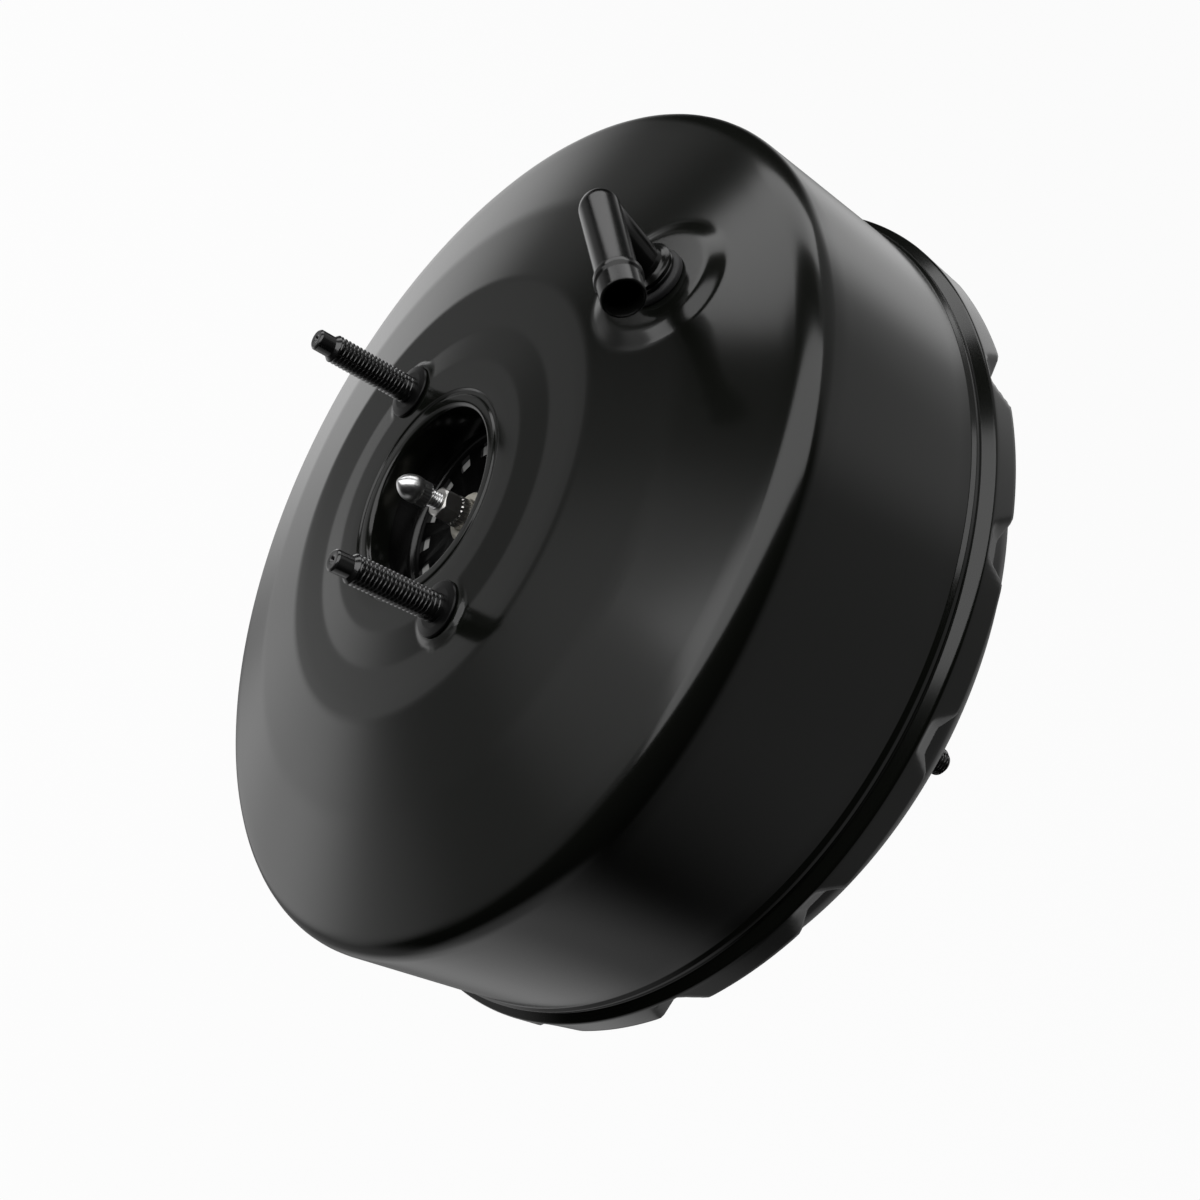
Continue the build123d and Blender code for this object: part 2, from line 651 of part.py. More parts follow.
# The stop key rests against the rear plate, and the valve parts are placed from it.
KEY_BACK = REAR_PLATE_FACE - GAP
KEY_FACE = KEY_BACK - KEY_THICK
PLUNGER_BODY_Y = KEY_BACK + PLUNGER_TRAVEL
PLUNGER_END = PLUNGER_BODY_Y + PLUNGER_BODY
SEAT_RING_FACE = PLUNGER_END - POPPET_TRAVEL
CONTROL_STEP = PLUNGER_BODY_Y - PLUNGER_TRAVEL - GAP
CONTROL_FLOOR = SEAT_RING_FACE - SEAT_RING
CONTROL_R = PLUNGER_BODY_R + FIT
with BuildPart() as power_piston:
    with BuildSketch(Plane.XY):
        with BuildLine():
            Polyline(
                (RECESS_R, HUB_Y),
                (HUB_R, HUB_Y),
                (HUB_R, FLANGE_Y),
                (FLANGE_R, FLANGE_Y),
                (FLANGE_R, FLANGE_BACK),
                (TUBE_R, FLANGE_BACK),
                (TUBE_R, TUBE_REACH),
                (TUBE_BORE_R, TUBE_REACH),
                (TUBE_BORE_R, CONTROL_FLOOR),
                (SEAT_RING_R, CONTROL_FLOOR),
                (SEAT_RING_R, SEAT_RING_FACE),
                (SEAT_RING_R - SEAT_RING, SEAT_RING_FACE),
                (CONTROL_R, SEAT_RING_FACE - SEAT_RING),
                (CONTROL_R, CONTROL_STEP),
                (PLUNGER_R + FIT, CONTROL_STEP),
                (PLUNGER_R + FIT, RECESS_END),
                (RECESS_R, RECESS_END),
                close=True,
            )
        make_face()
    revolve(axis=Axis.Y)
    # Vacuum ports from the front of the hub to the annulus round the seat.
    with BuildSketch(Plane.XZ.offset(-HUB_Y)):
        for i in range(PORTS):
            start = 45 + i * 360 / PORTS - PORT_ARC / 2
            arc = CenterArc((0, 0), PORT_R, start, PORT_ARC, mode=Mode.PRIVATE)
            SlotArc(arc, height=PORT_WIDTH)
    extrude(amount=HUB_Y - CONTROL_FLOOR - SNUG, mode=Mode.SUBTRACT)
    # Slot for the stop key, longer than the key by the plunger's travel.
    with BuildSketch(Plane.XY):
        with Locations((0, (KEY_FACE - PLUNGER_TRAVEL + KEY_BACK) / 2)):
            Rectangle(3 * TUBE_R, KEY_THICK + PLUNGER_TRAVEL + 2 * GAP)
    extrude(amount=KEY_WIDTH / 2 + GAP, both=True, mode=Mode.SUBTRACT)
finish(power_piston, "power_piston")

# Front of the plate's dish, where the return spring sits, and its deeper outer band.
PLATE_BACK = FLANGE_Y - SNUG
PLATE_R = REAR_WALL_R - ROLL_ROOM
DISH_R = RETURN_REAR_R + 4 * RETURN_WIRE_R
DISH_STEP = 2 * RETURN_WIRE_R
DISH_DROP = PLATE_RIM / 3
PLATE_OUTLINE = [
    (PLATE_R, PLATE_BACK - PLATE_RIM),
    (PLATE_R, PLATE_BACK + DISH_DROP),
    (DISH_R + DISH_STEP, PLATE_BACK + DISH_DROP),
    (DISH_R, PLATE_BACK),
    (HUB_R + SNUG, PLATE_BACK),
]
with BuildPart() as diaphragm_plate:
    with BuildSketch(Plane.XY):
        with BuildLine():
            sheet_section(PLATE_OUTLINE, PLATE_SHEET, {})
        make_face()
    revolve(axis=Axis.Y)
finish(diaphragm_plate, "diaphragm_plate")

# One rubber sheet: the bead at the rim, a rolling wall, and the web behind the plate.
WEB_FACE = PLATE_BACK + DISH_DROP + SNUG
WEB_BACK = WEB_FACE + RUBBER
ROLL_R = PLATE_R + SNUG + RUBBER
BEAD_INNER_R = REAR_WALL_R - BEAD_INSET
with BuildPart() as diaphragm:
    with BuildSketch(Plane.XY):
        with BuildLine():
            Polyline(
                (FLANGE_R + SNUG, PLATE_BACK + SNUG),
                (DISH_R - SNUG, PLATE_BACK + SNUG),
                (DISH_R + DISH_STEP - SNUG, WEB_FACE),
                (PLATE_R + SNUG, WEB_FACE),
                (PLATE_R + SNUG, RIM_FACE + RUBBER),
                (BEAD_INNER_R, RIM_FACE - RUBBER),
                (BEAD_INNER_R, RIM_FACE - BEAD_THICK + GAP),
                (SKIRT_R - 2 * FRONT_SHEET, RIM_FACE - BEAD_THICK + GAP),
                (RIM_R, RIM_FACE - SNUG),
                (REAR_WALL_R - REAR_SHEET - GAP, RIM_FACE - SNUG),
                (ROLL_R, RIM_FACE + 2 * RUBBER),
                (ROLL_R, WEB_BACK),
                (FLANGE_R + 2 * RUBBER, WEB_BACK),
                (FLANGE_R + SNUG, FLANGE_BACK),
                close=True,
            )
        make_face()
    revolve(axis=Axis.Y)
finish(diaphragm, "diaphragm")

# ================================================================ control valve
BALL_Y = PLUNGER_BODY_Y + BALL_R + 1.0
BALL_MOUTH_R = BALL_NECK_R + 3 * GAP
SOCKET_R = BALL_R + GAP
PLUNGER_NOSE = RECESS_END + PLUNGER_TRAVEL + GAP
with BuildPart() as valve_plunger:
    with BuildSketch(Plane.XY):
        with BuildLine():
            Polyline(
                (0, PLUNGER_NOSE),
                (PLUNGER_R, PLUNGER_NOSE),
                (PLUNGER_R, KEY_FACE - FIT),
                (PLUNGER_GROOVE_R, KEY_FACE - FIT),
                (PLUNGER_GROOVE_R, KEY_BACK + FIT),
                (PLUNGER_R, KEY_BACK + FIT),
                (PLUNGER_R, PLUNGER_BODY_Y),
                (PLUNGER_BODY_R, PLUNGER_BODY_Y),
                (PLUNGER_BODY_R, PLUNGER_END),
                (0, PLUNGER_END),
                close=True,
            )
        make_face()
    revolve(axis=Axis.Y)
    # Ball socket, and the flared mouth that lets the rod tilt.
    with BuildSketch(Plane.XY):
        with BuildLine():
            Polyline(
                (0, BALL_Y - SOCKET_R),
                (SOCKET_R * tan(pi / 8), BALL_Y - SOCKET_R),
                (SOCKET_R, BALL_Y - SOCKET_R * tan(pi / 8)),
                (SOCKET_R, BALL_Y + SOCKET_R * tan(pi / 8)),
                (BALL_MOUTH_R, BALL_Y + BALL_R),
                (POPPET_IN_R, PLUNGER_END),
                (0, PLUNGER_END),
                close=True,
            )
        make_face()
    revolve(axis=Axis.Y, mode=Mode.SUBTRACT)
finish(valve_plunger, "valve_plunger")

# A fork that slides on to the plunger's groove from the +X side.
with BuildPart() as stop_key:
    with BuildSketch(Plane.XZ.offset(-KEY_FACE)):
        with Locations(((KEY_REACH - TUBE_R) / 2, 0)):
            Rectangle(KEY_REACH + TUBE_R, KEY_WIDTH)
        Circle(PLUNGER_GROOVE_R + FIT, mode=Mode.SUBTRACT)
        with Locations((-TUBE_R, 0)):
            Rectangle(2 * TUBE_R, 2 * (PLUNGER_GROOVE_R + FIT), mode=Mode.SUBTRACT)
    extrude(amount=-KEY_THICK)
finish(stop_key, "stop_key")

POPPET_FACE = PLUNGER_END + SNUG
POPPET_END = POPPET_FACE + POPPET_LENGTH
with BuildPart() as poppet_valve:
    with BuildSketch(Plane.XY):
        with BuildLine():
            Polyline(
                (POPPET_IN_R, POPPET_FACE),
                (POPPET_OUT_R, POPPET_FACE),
                (POPPET_OUT_R, POPPET_END),
                (POPPET_OUT_R - POPPET_SLEEVE, POPPET_END),
                (POPPET_OUT_R - POPPET_SLEEVE, POPPET_FACE + POPPET_LIP),
                (POPPET_IN_R, POPPET_FACE + POPPET_LIP),
                close=True,
            )
        make_face()
    revolve(axis=Axis.Y)
finish(poppet_valve, "poppet_valve")

CUP_Y = POPPET_END + GAP
CUP_END = CUP_Y + RETAINER_LENGTH
with BuildPart() as poppet_retainer:
    with BuildSketch(Plane.XY):
        with BuildLine():
            Polyline(
                (TUBE_BORE_R - SNUG, CUP_Y),
                (POPPET_IN_R, CUP_Y),
                (POPPET_IN_R, CUP_Y + RETAINER_SHEET),
                (TUBE_BORE_R - RETAINER_SHEET, CUP_Y + RETAINER_SHEET),
                (TUBE_BORE_R - RETAINER_SHEET, CUP_END),
                (TUBE_BORE_R - SNUG, CUP_END),
                close=True,
            )
        make_face()
    revolve(axis=Axis.Y)
finish(poppet_retainer, "poppet_retainer")

# ================================================================ input rod
COLLAR_END = TUBE_REACH - FILTER_LENGTH - 2 * PLUNGER_TRAVEL
COLLAR_Y = COLLAR_END - INPUT_ROD_COLLAR
ROD_THREAD_Y = INPUT_ROD_REACH - INPUT_ROD_THREAD
with BuildPart() as input_rod:
    with Locations((0, BALL_Y, 0)):
        Sphere(BALL_R)
    with BuildSketch(Plane.XY):
        with BuildLine():
            Polyline(
                (0, BALL_Y),
                (BALL_NECK_R, BALL_Y),
                (BALL_NECK_R, BALL_Y + BALL_R + 2 * BALL_NECK_R),
                (INPUT_ROD_NECK_R, BALL_Y + BALL_R + 3 * BALL_NECK_R),
                (INPUT_ROD_NECK_R, COLLAR_Y),
                (INPUT_ROD_COLLAR_R, COLLAR_Y),
                (INPUT_ROD_COLLAR_R, COLLAR_END),
                (INPUT_ROD_NECK_R, COLLAR_END),
                (INPUT_ROD_NECK_R, ROD_THREAD_Y - 1),
                (INPUT_ROD_R, ROD_THREAD_Y),
                (INPUT_ROD_R, LOCK_NUT_FACE - GAP),
                (INPUT_ROD_PITCH_R, LOCK_NUT_FACE - GAP),
                (INPUT_ROD_PITCH_R, LOCK_NUT_FACE + LOCK_NUT + GAP),
                (INPUT_ROD_R, LOCK_NUT_FACE + LOCK_NUT + GAP),
                (INPUT_ROD_R, INPUT_ROD_REACH - 1),
                (INPUT_ROD_R - 1, INPUT_ROD_REACH),
                (0, INPUT_ROD_REACH),
                close=True,
            )
        make_face()
    revolve(axis=Axis.Y)
finish(input_rod, "input_rod")

NUT_CORNER_R = LOCK_NUT_AF / 2 / cos(pi / 6)
NUT_CONE = (NUT_CORNER_R - LOCK_NUT_AF / 2) * tan(radians(LOCK_NUT_CONE))
with BuildPart() as lock_nut:
    with BuildSketch(Plane.XZ.offset(-LOCK_NUT_FACE)):
        RegularPolygon(LOCK_NUT_AF / 2, 6, major_radius=False)
        Circle(INPUT_ROD_PITCH_R + SNUG, mode=Mode.SUBTRACT)
    extrude(amount=-LOCK_NUT)
    # The corners are turned off to a cone on both faces.
    with BuildSketch(Plane.XY):
        with BuildLine():
            Polyline(
                (0, LOCK_NUT_FACE),
                (LOCK_NUT_AF / 2, LOCK_NUT_FACE),
                (NUT_CORNER_R, LOCK_NUT_FACE + NUT_CONE),
                (NUT_CORNER_R, LOCK_NUT_FACE + LOCK_NUT - NUT_CONE),
                (LOCK_NUT_AF / 2, LOCK_NUT_FACE + LOCK_NUT),
                (0, LOCK_NUT_FACE + LOCK_NUT),
                close=True,
            )
        make_face()
    revolve(axis=Axis.Y, mode=Mode.INTERSECT)
finish(lock_nut, "lock_nut")

SOFT_IN_R = INPUT_ROD_NECK_R + FILTER_CLEARANCE
with BuildPart() as air_filter:
    add(ring(SOFT_IN_R, TUBE_BORE_R - SNUG, TUBE_REACH - FILTER_LENGTH, FILTER_LENGTH))
finish(air_filter, "air_filter")

# ================================================================ dust boot
BOOT_START = NECK_LENGTH - BOOT_CUFF
BOOT_FOLD_LENGTH = (TUBE_REACH - NECK_LENGTH) / BOOT_FOLDS
BOOT_END = TUBE_REACH + GAP + BOOT_SHEET
BOOT_OUTLINE = [(NECK_R + GAP + BOOT_SHEET, BOOT_START)]
for i in range(BOOT_FOLDS):
    foot = NECK_LENGTH + i * BOOT_FOLD_LENGTH
    BOOT_OUTLINE.append((BOOT_VALLEY_R + BOOT_SHEET, foot))
    BOOT_OUTLINE.append((BOOT_PEAK_R, foot + BOOT_FOLD_LENGTH / 2))
BOOT_OUTLINE.append((BOOT_END_R, BOOT_END))
BOOT_OUTLINE.append((INPUT_ROD_NECK_R + 4 * GAP, BOOT_END))
with BuildPart() as dust_boot:
    with BuildSketch(Plane.XY):
        with BuildLine():
            sheet_section(BOOT_OUTLINE, BOOT_SHEET, {})
        make_face()
    revolve(axis=Axis.Y)
finish(dust_boot, "dust_boot")


# ================================================================ springs
def coil(wire_r, front_r, rear_r, front, rear, turns):
    """A conical spring on the booster's axis, between the planes y = front and y = rear."""
    steps = round(turns * COIL_STEPS)
    path = []
    for i in range(steps + 1):
        angle = 2 * pi * i / COIL_STEPS
        r = front_r + (rear_r - front_r) * i / steps
        y = front + wire_r + (rear - front - 2 * wire_r) * i / steps
        path.append((r * cos(angle), y, r * sin(angle)))
    with BuildPart() as spring:
        with BuildLine() as wire:
            Polyline(*path)
        with BuildSketch(Plane(origin=wire.line @ 0, z_dir=wire.line % 0)):
            RegularPolygon(wire_r, COIL_SIDES)
        sweep(transition=Transition.RIGHT)
    return spring.part


PLATE_FACE = PLATE_BACK - PLATE_SHEET
with BuildPart() as return_spring:
    ends = (RETURN_FRONT_R, RETURN_REAR_R, FRONT_HEAD_FACE, PLATE_FACE)
    add(coil(RETURN_WIRE_R, *ends, RETURN_TURNS))
finish(return_spring, "return_spring")

with BuildPart() as poppet_spring:
    ends = (POPPET_SPRING_R, POPPET_SPRING_R, POPPET_FACE + POPPET_LIP, CUP_Y)
    add(coil(SMALL_WIRE_R, *ends, SMALL_TURNS))
finish(poppet_spring, "poppet_spring")

CUP_FLOOR = CUP_Y + RETAINER_SHEET
with BuildPart() as rod_spring:
    add(coil(SMALL_WIRE_R, ROD_SPRING_R, ROD_SPRING_R, CUP_FLOOR, COLLAR_Y, SMALL_TURNS))
finish(rod_spring, "rod_spring")

# ================================================================ check valve
# Heights are along the boss's own normal, from the cone.
GROMMET_BACK = -2 * FRONT_SHEET - GROMMET_FLANGE
FLANGE_FOOT = BOSS_RISE + GROMMET_FLANGE + SNUG
FLANGE_TOP = FLANGE_FOOT + VALVE_FLANGE
BODY_TOP = FLANGE_TOP + VALVE_FLANGE
VALVE_SECTION = Plane(origin=VALVE_PLANE.origin, x_dir=(1, 0, 0), z_dir=VALVE_PLANE.y_dir * -1)
VALVE_AXIS = Axis(VALVE_PLANE.origin, VALVE_PLANE.z_dir)
NOZZLE_PLANE = Plane(
    origin=VALVE_PLANE.origin + VALVE_PLANE.z_dir * ELBOW_HEIGHT,
    x_dir=VALVE_PLANE.y_dir,
    z_dir=(1, 0, 0),
)
with BuildPart() as grommet:
    with BuildSketch(VALVE_SECTION):
        with BuildLine():
            Polyline(
                (STEM_NECK_R + FIT, GROMMET_BACK),
                (GROMMET_R, GROMMET_BACK),
                (GROMMET_R, BOSS_RISE - FRONT_SHEET),
                (GROMMET_HOLE_R - SNUG, BOSS_RISE - FRONT_SHEET),
                (GROMMET_HOLE_R - SNUG, BOSS_RISE),
                (GROMMET_R, BOSS_RISE),
                (GROMMET_R - GROMMET_FLANGE / 2, BOSS_RISE + GROMMET_FLANGE),
                (STEM_NECK_R + FIT, BOSS_RISE + GROMMET_FLANGE),
                close=True,
            )
        make_face()
    revolve(axis=VALVE_AXIS)
finish(grommet, "grommet")

with BuildPart() as check_valve_base:
    with BuildSketch(VALVE_SECTION):
        with BuildLine():
            Polyline(
                (CHECK_SEAT_R, GROMMET_BACK - STEM_BARB),
                (STEM_END_R, GROMMET_BACK - STEM_BARB),
                (STEM_BARB_R, GROMMET_BACK - GAP),
                (STEM_NECK_R, GROMMET_BACK - GAP),
                (STEM_NECK_R, FLANGE_FOOT),
                (VALVE_FLANGE_R, FLANGE_FOOT),
                (VALVE_FLANGE_R, FLANGE_TOP),
                (CHECK_SEAT_R, FLANGE_TOP),
                close=True,
            )
        make_face()
    revolve(axis=VALVE_AXIS)
finish(check_valve_base, "check_valve_base")

with BuildPart() as check_valve_elbow:
    with BuildSketch(VALVE_PLANE.offset(FLANGE_TOP)):
        Circle(VALVE_FLANGE_R)
    extrude(amount=VALVE_FLANGE)
    with BuildSketch(VALVE_PLANE.offset(BODY_TOP)):
        Circle(STEM_R)
    extrude(amount=ELBOW_HEIGHT - BODY_TOP)
    # Hose nozzle: a closed dome behind the stem, a body, a ring and the end that takes the hose.
    with BuildSketch(NOZZLE_PLANE.offset(-NOZZLE_DOME_OFFSET)):
        Circle(NOZZLE_R)
    extrude(amount=NOZZLE_REACH - NOZZLE_END + NOZZLE_DOME_OFFSET)
    with Locations(NOZZLE_PLANE.offset(-NOZZLE_DOME_OFFSET)):
        Sphere(NOZZLE_R)
    with BuildSketch(NOZZLE_PLANE.offset(NOZZLE_REACH - NOZZLE_END - NOZZLE_RING)):
        Circle(NOZZLE_RING_R)
    extrude(amount=NOZZLE_RING)
    with BuildSketch(NOZZLE_PLANE.offset(NOZZLE_REACH - NOZZLE_END)):
        Circle(NOZZLE_END_R)
    extrude(amount=NOZZLE_END)
    with BuildSketch(NOZZLE_PLANE):
        Circle(NOZZLE_BORE_R)
    extrude(amount=NOZZLE_REACH, mode=Mode.SUBTRACT)
    with BuildSketch(VALVE_PLANE.offset(FLANGE_TOP)):
        Circle(STEM_BORE_R)
    extrude(amount=CHECK_DISC + CHECK_TRAVEL + CHECK_SPRING, mode=Mode.SUBTRACT)
    with BuildSketch(VALVE_PLANE.offset(FLANGE_TOP)):
        Circle(CHECK_SEAT_R)
    extrude(amount=ELBOW_HEIGHT - FLANGE_TOP, mode=Mode.SUBTRACT)
finish(check_valve_elbow, "check_valve_elbow")

with BuildPart() as check_valve_disc:
    with BuildSketch(VALVE_PLANE.offset(FLANGE_TOP + SNUG)):
        Circle(CHECK_DISC_R)
    extrude(amount=CHECK_DISC)
finish(check_valve_disc, "check_valve_disc")
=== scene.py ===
"""Looks of a vacuum brake booster, built round its packed CAD frame."""

from math import atan2, cos, exp, hypot, pi, radians, sin, sqrt, tan

import bmesh
import bpy
from bpy.props import FloatProperty, FloatVectorProperty, IntProperty, PointerProperty
from mathutils import Matrix, Vector


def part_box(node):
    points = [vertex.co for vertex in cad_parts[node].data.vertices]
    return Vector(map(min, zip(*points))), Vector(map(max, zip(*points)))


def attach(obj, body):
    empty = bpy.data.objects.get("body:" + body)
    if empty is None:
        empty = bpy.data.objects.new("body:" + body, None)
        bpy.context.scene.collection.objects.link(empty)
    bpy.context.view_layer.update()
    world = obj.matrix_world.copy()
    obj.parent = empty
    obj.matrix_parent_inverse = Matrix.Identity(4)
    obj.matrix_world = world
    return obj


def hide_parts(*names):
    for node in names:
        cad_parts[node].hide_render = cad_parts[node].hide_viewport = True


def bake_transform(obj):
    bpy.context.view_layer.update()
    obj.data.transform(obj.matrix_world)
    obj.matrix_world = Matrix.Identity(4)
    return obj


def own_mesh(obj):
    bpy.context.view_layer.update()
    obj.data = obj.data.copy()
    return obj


bl_info = {
    "name": "Brake Booster",
    "version": (1, 0, 0),
    "blender": (4, 5, 0),
    "location": "View3D > Sidebar > Booster",
    "description": "Builds the shells, studs, push rods, check valve and boot of a vacuum brake booster",
    "category": "Object",
}

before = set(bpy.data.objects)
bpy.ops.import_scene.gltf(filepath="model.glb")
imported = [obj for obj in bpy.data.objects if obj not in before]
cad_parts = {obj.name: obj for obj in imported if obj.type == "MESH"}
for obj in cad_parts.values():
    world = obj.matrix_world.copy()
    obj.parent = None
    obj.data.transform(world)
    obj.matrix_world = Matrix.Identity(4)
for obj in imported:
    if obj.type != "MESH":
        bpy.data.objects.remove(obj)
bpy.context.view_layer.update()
MM = 0.001


def length(name, description, value):
    """A size in metres, given here in millimetres."""
    return FloatProperty(name=name, description=description, default=value * MM, unit="LENGTH")


def colour(name, description, value):
    return FloatVectorProperty(
        name=name, description=description, default=value, size=4, subtype="COLOR", min=0, max=1
    )


# ---- settings
class BoosterShellSizes(bpy.types.PropertyGroup):
    """Pressed steel shells."""

    depth: length("Depth", "Platform to firewall face", 118.0)
    sheet: length("Sheet", "Thickness of the pressed steel", 1.6)
    pilot_radius: length("Opening Radius", "Opening for the master cylinder", 26.0)
    seat_rise: length("Seat Rise", "Height of the master cylinder's seat", 1.2)
    wall_radius: length("Wall Radius", "Outside of the front shell's wall", 124.2)
    skirt_radius: length("Skirt Radius", "Outside of the locked rim", 127.8)
    skirt_end: length("Skirt End", "Depth of the rim's edge behind the platform", 86.0)
    dent_start: length("Lock Start", "Depth where the pressed locks begin", 77.6)
    dent_depth: length("Lock Depth", "Depth of a lock at the rim's edge", 4.2)
    dent_floor: length("Lock Floor", "Width of a lock's floor", 7.0)
    dents: IntProperty(name="Locks", description="Pressed locks round the rim", default=16, min=4, max=40)
    dent_phase: FloatProperty(
        name="Lock Turn", description="Turn of the first lock from the lower stud",
        default=radians(13.5), subtype="ANGLE",
    )


class BoosterStudSizes(bpy.types.PropertyGroup):
    """Studs of both sides."""

    radius: length("Radius", "Outside of the thread", 4.0)
    pitch: length("Pitch", "Pitch of the thread", 1.25)
    point_radius: length("Point Radius", "Plain point ahead of the thread", 3.0)
    point_length: length("Point Length", "Length of the plain point", 4.8)
    front_spacing: length("Front Spacing", "Between the two master cylinder studs", 86.0)
    front_reach: length("Front Reach", "Platform to the tip of a front stud", 33.8)
    rear_spacing_x: length("Rear Spacing X", "Between the firewall studs, along X", 82.0)
    rear_spacing_z: length("Rear Spacing Z", "Between the firewall studs, along Z", 72.0)
    rear_reach: length("Rear Reach", "Firewall face to the tip of a stud", 27.0)


class BoosterValveSizes(bpy.types.PropertyGroup):
    """Check valve in the front shell."""

    place: length("Place", "From the booster's axis to the valve", 86.5)
    drop: length("Drop", "Depth of the valve's place behind the platform", 4.6588)
    tilt: FloatProperty(
        name="Tilt", description="Tilt of the valve's axis", default=radians(14.28), subtype="ANGLE"
    )
    boss_radius: length("Boss Radius", "Foot of the raised boss", 19.2)
    boss_top: length("Boss Top", "Radius of the boss's flat top", 14.8)
    boss_rise: length("Boss Rise", "Height of the boss", 1.4)
    height: length("Elbow Height", "Nozzle axis above the shell", 25.0)
    reach: length("Nozzle Reach", "Stem axis to the nozzle's mouth", 32.5)
    nozzle_radius: length("Nozzle Radius", "Outside of the nozzle", 5.05)
    bore_radius: length("Bore Radius", "Inside of the nozzle", 4.0)


class BoosterFinish(bpy.types.PropertyGroup):
    """Colours of the finishes."""

    paint: colour("Coat Colour", "Black coat of the shells", (0.0050, 0.0056, 0.0044, 1))
    phosphate: colour("Stud Coat", "Dark phosphate of the studs", (0.008, 0.008, 0.008, 1))
    rubber: colour("Rubber", "Boot and grommet", (0.018, 0.018, 0.019, 1))
    plastic: colour("Valve Plastic", "Moulded check valve", (0.0060, 0.0062, 0.0058, 1))
    steel: colour("Bright Steel", "Machined push rod", (0.60, 0.59, 0.57, 1))


GROUPS = {
    "booster_shell": BoosterShellSizes,
    "booster_stud": BoosterStudSizes,
    "booster_valve": BoosterValveSizes,
    "booster_finish": BoosterFinish,
}


# ---- mesh tools
def placed(name, data):
    """An object at the origin, in the scene."""
    obj = bpy.data.objects.new(name, data)
    bpy.context.scene.collection.objects.link(obj)
    return obj


def new_object(name, verts, faces, material=None, sharp=35.0):
    """A mesh object with its doubles merged, its faces outwards and smooth up to an angle."""
    mesh = bpy.data.meshes.new(name)
    mesh.from_pydata(verts, [], faces)
    mesh.update()
    work = bmesh.new()
    work.from_mesh(mesh)
    bmesh.ops.remove_doubles(work, verts=work.verts, dist=1e-7)
    bmesh.ops.recalc_face_normals(work, faces=work.faces)
    work.to_mesh(mesh)
    work.free()
    mesh.shade_smooth()
    mesh.set_sharp_from_angle(angle=radians(sharp))
    if material:
        mesh.materials.append(material)
    return placed(name, mesh)


def rounded(points, fine):
    """Corners (radius, height, bend) of an outline become arcs; all in the same unit."""
    line = []
    for i, (r, h, bend) in enumerate(points):
        corner, angle = Vector((r, h)), pi
        if bend > 0 and 0 < i < len(points) - 1:
            a = (Vector(points[i - 1][:2]) - corner).normalized()
            b = (Vector(points[i + 1][:2]) - corner).normalized()
            angle = a.angle(b)
        if pi - angle < 1e-3:
            line.append((r, h))
            continue
        back = bend / tan(angle / 2)
        centre = corner + (a + b).normalized() * (bend / sin(angle / 2))
        start = corner + a * back - centre
        end = corner + b * back - centre
        turn = start.angle(end)
        steps = max(3, int(turn / fine) + 1)
        for k in range(steps + 1):
            t = k / steps
            spoke = (start * sin((1 - t) * turn) + end * sin(t * turn)) / sin(turn)
            line.append(tuple(centre + spoke))
    return line


def dense(line, step):
    """The same outline with no stretch longer than step."""
    out = [line[0]]
    for a, b in zip(line, line[1:]):
        n = max(1, int(hypot(b[0] - a[0], b[1] - a[1]) / step + 0.999))
        out += [(a[0] + (b[0] - a[0]) * k / n, a[1] + (b[1] - a[1]) * k / n) for k in range(1, n + 1)]
    return out


def strips(rings):
    """Faces between rings of vertex numbers; they come to a point where a number repeats."""
    faces = []
    for low, high in zip(rings, rings[1:]):
        for j in range(len(low)):
            k = (j + 1) % len(low)
            corners = dict.fromkeys((low[j], high[j], high[k], low[k]))
            if len(corners) > 2:
                faces.append(tuple(corners))
    return faces


def turned(name, outline, material, segments=96, place=None, cut=None, shape=None, opened=False, sharp=35.0):
    """An outline (radius, height), in mm, turned round the local Y axis.

    It closes on itself if it starts off the axis; cut changes its radius, and shape its points.
    """
    place = place or Matrix.Identity(4)
    verts, rings = [], []
    for r, h in outline:
        count = 1 if r < 1e-6 else segments
        rings.append([len(verts) + j % count for j in range(segments)])
        for j in range(count):
            angle = 2 * pi * j / segments
            reach = cut(r, h, angle) if cut else r
            point = shape(r, h, angle) if shape else (reach * cos(angle), h, reach * sin(angle))
            verts.append(place @ (Vector(point) * MM))
    if outline[0][0] >= 1e-6 and not opened:
        rings.append(rings[0])
    return new_object(name, verts, strips(rings), material, sharp)


def applied(obj):
    """The object's mesh with its modifiers run; they go."""
    graph = bpy.context.evaluated_depsgraph_get()
    mesh = bpy.data.meshes.new_from_object(obj.evaluated_get(graph), depsgraph=graph)
    obj.modifiers.clear()
    return mesh


def joined(name, pieces, material):
    """Several mesh objects as one."""
    mesh = bpy.data.meshes.new(name)
    work = bmesh.new()
    for piece in pieces:
        work.from_mesh(piece.data)
    work.to_mesh(mesh)
    work.free()
    for piece in pieces:
        bpy.data.objects.remove(piece)
    mesh.materials.append(material)
    return placed(name, mesh)


def ease(t):
    """0 to 1 with soft ends."""
    t = min(max(t, 0.0), 1.0)
    return t * t * (3 - 2 * t)


def ramp(t, bend=0.16):
    """0 to 1 along a straight slope with short bends at both ends."""
    t = min(max(t, -bend), 1.0 + bend)
    low = (t + bend) ** 2 / (4 * bend) if t < bend else t
    return low if t < 1.0 - bend else 1.0 - (1.0 + bend - t) ** 2 / (4 * bend)


# ---- node trees
def new_tree(name, kind, inputs, outputs):
    """A node group from its named sockets, each a type or a default number; with its two ends."""
    tree = bpy.data.node_groups.new(name, kind)
    for direction, sockets in (("INPUT", inputs), ("OUTPUT", outputs)):
        for label, value in sockets.items():
            typed = {int: "Int", float: "Float"}.get(type(value), value)
            socket_type = "NodeSocket" + typed
            socket = tree.interface.new_socket(name=label, in_out=direction, socket_type=socket_type)
            if typed != value:
                socket.default_value = value
    return tree, tree.nodes.new("NodeGroupInput").outputs, tree.nodes.new("NodeGroupOutput").inputs


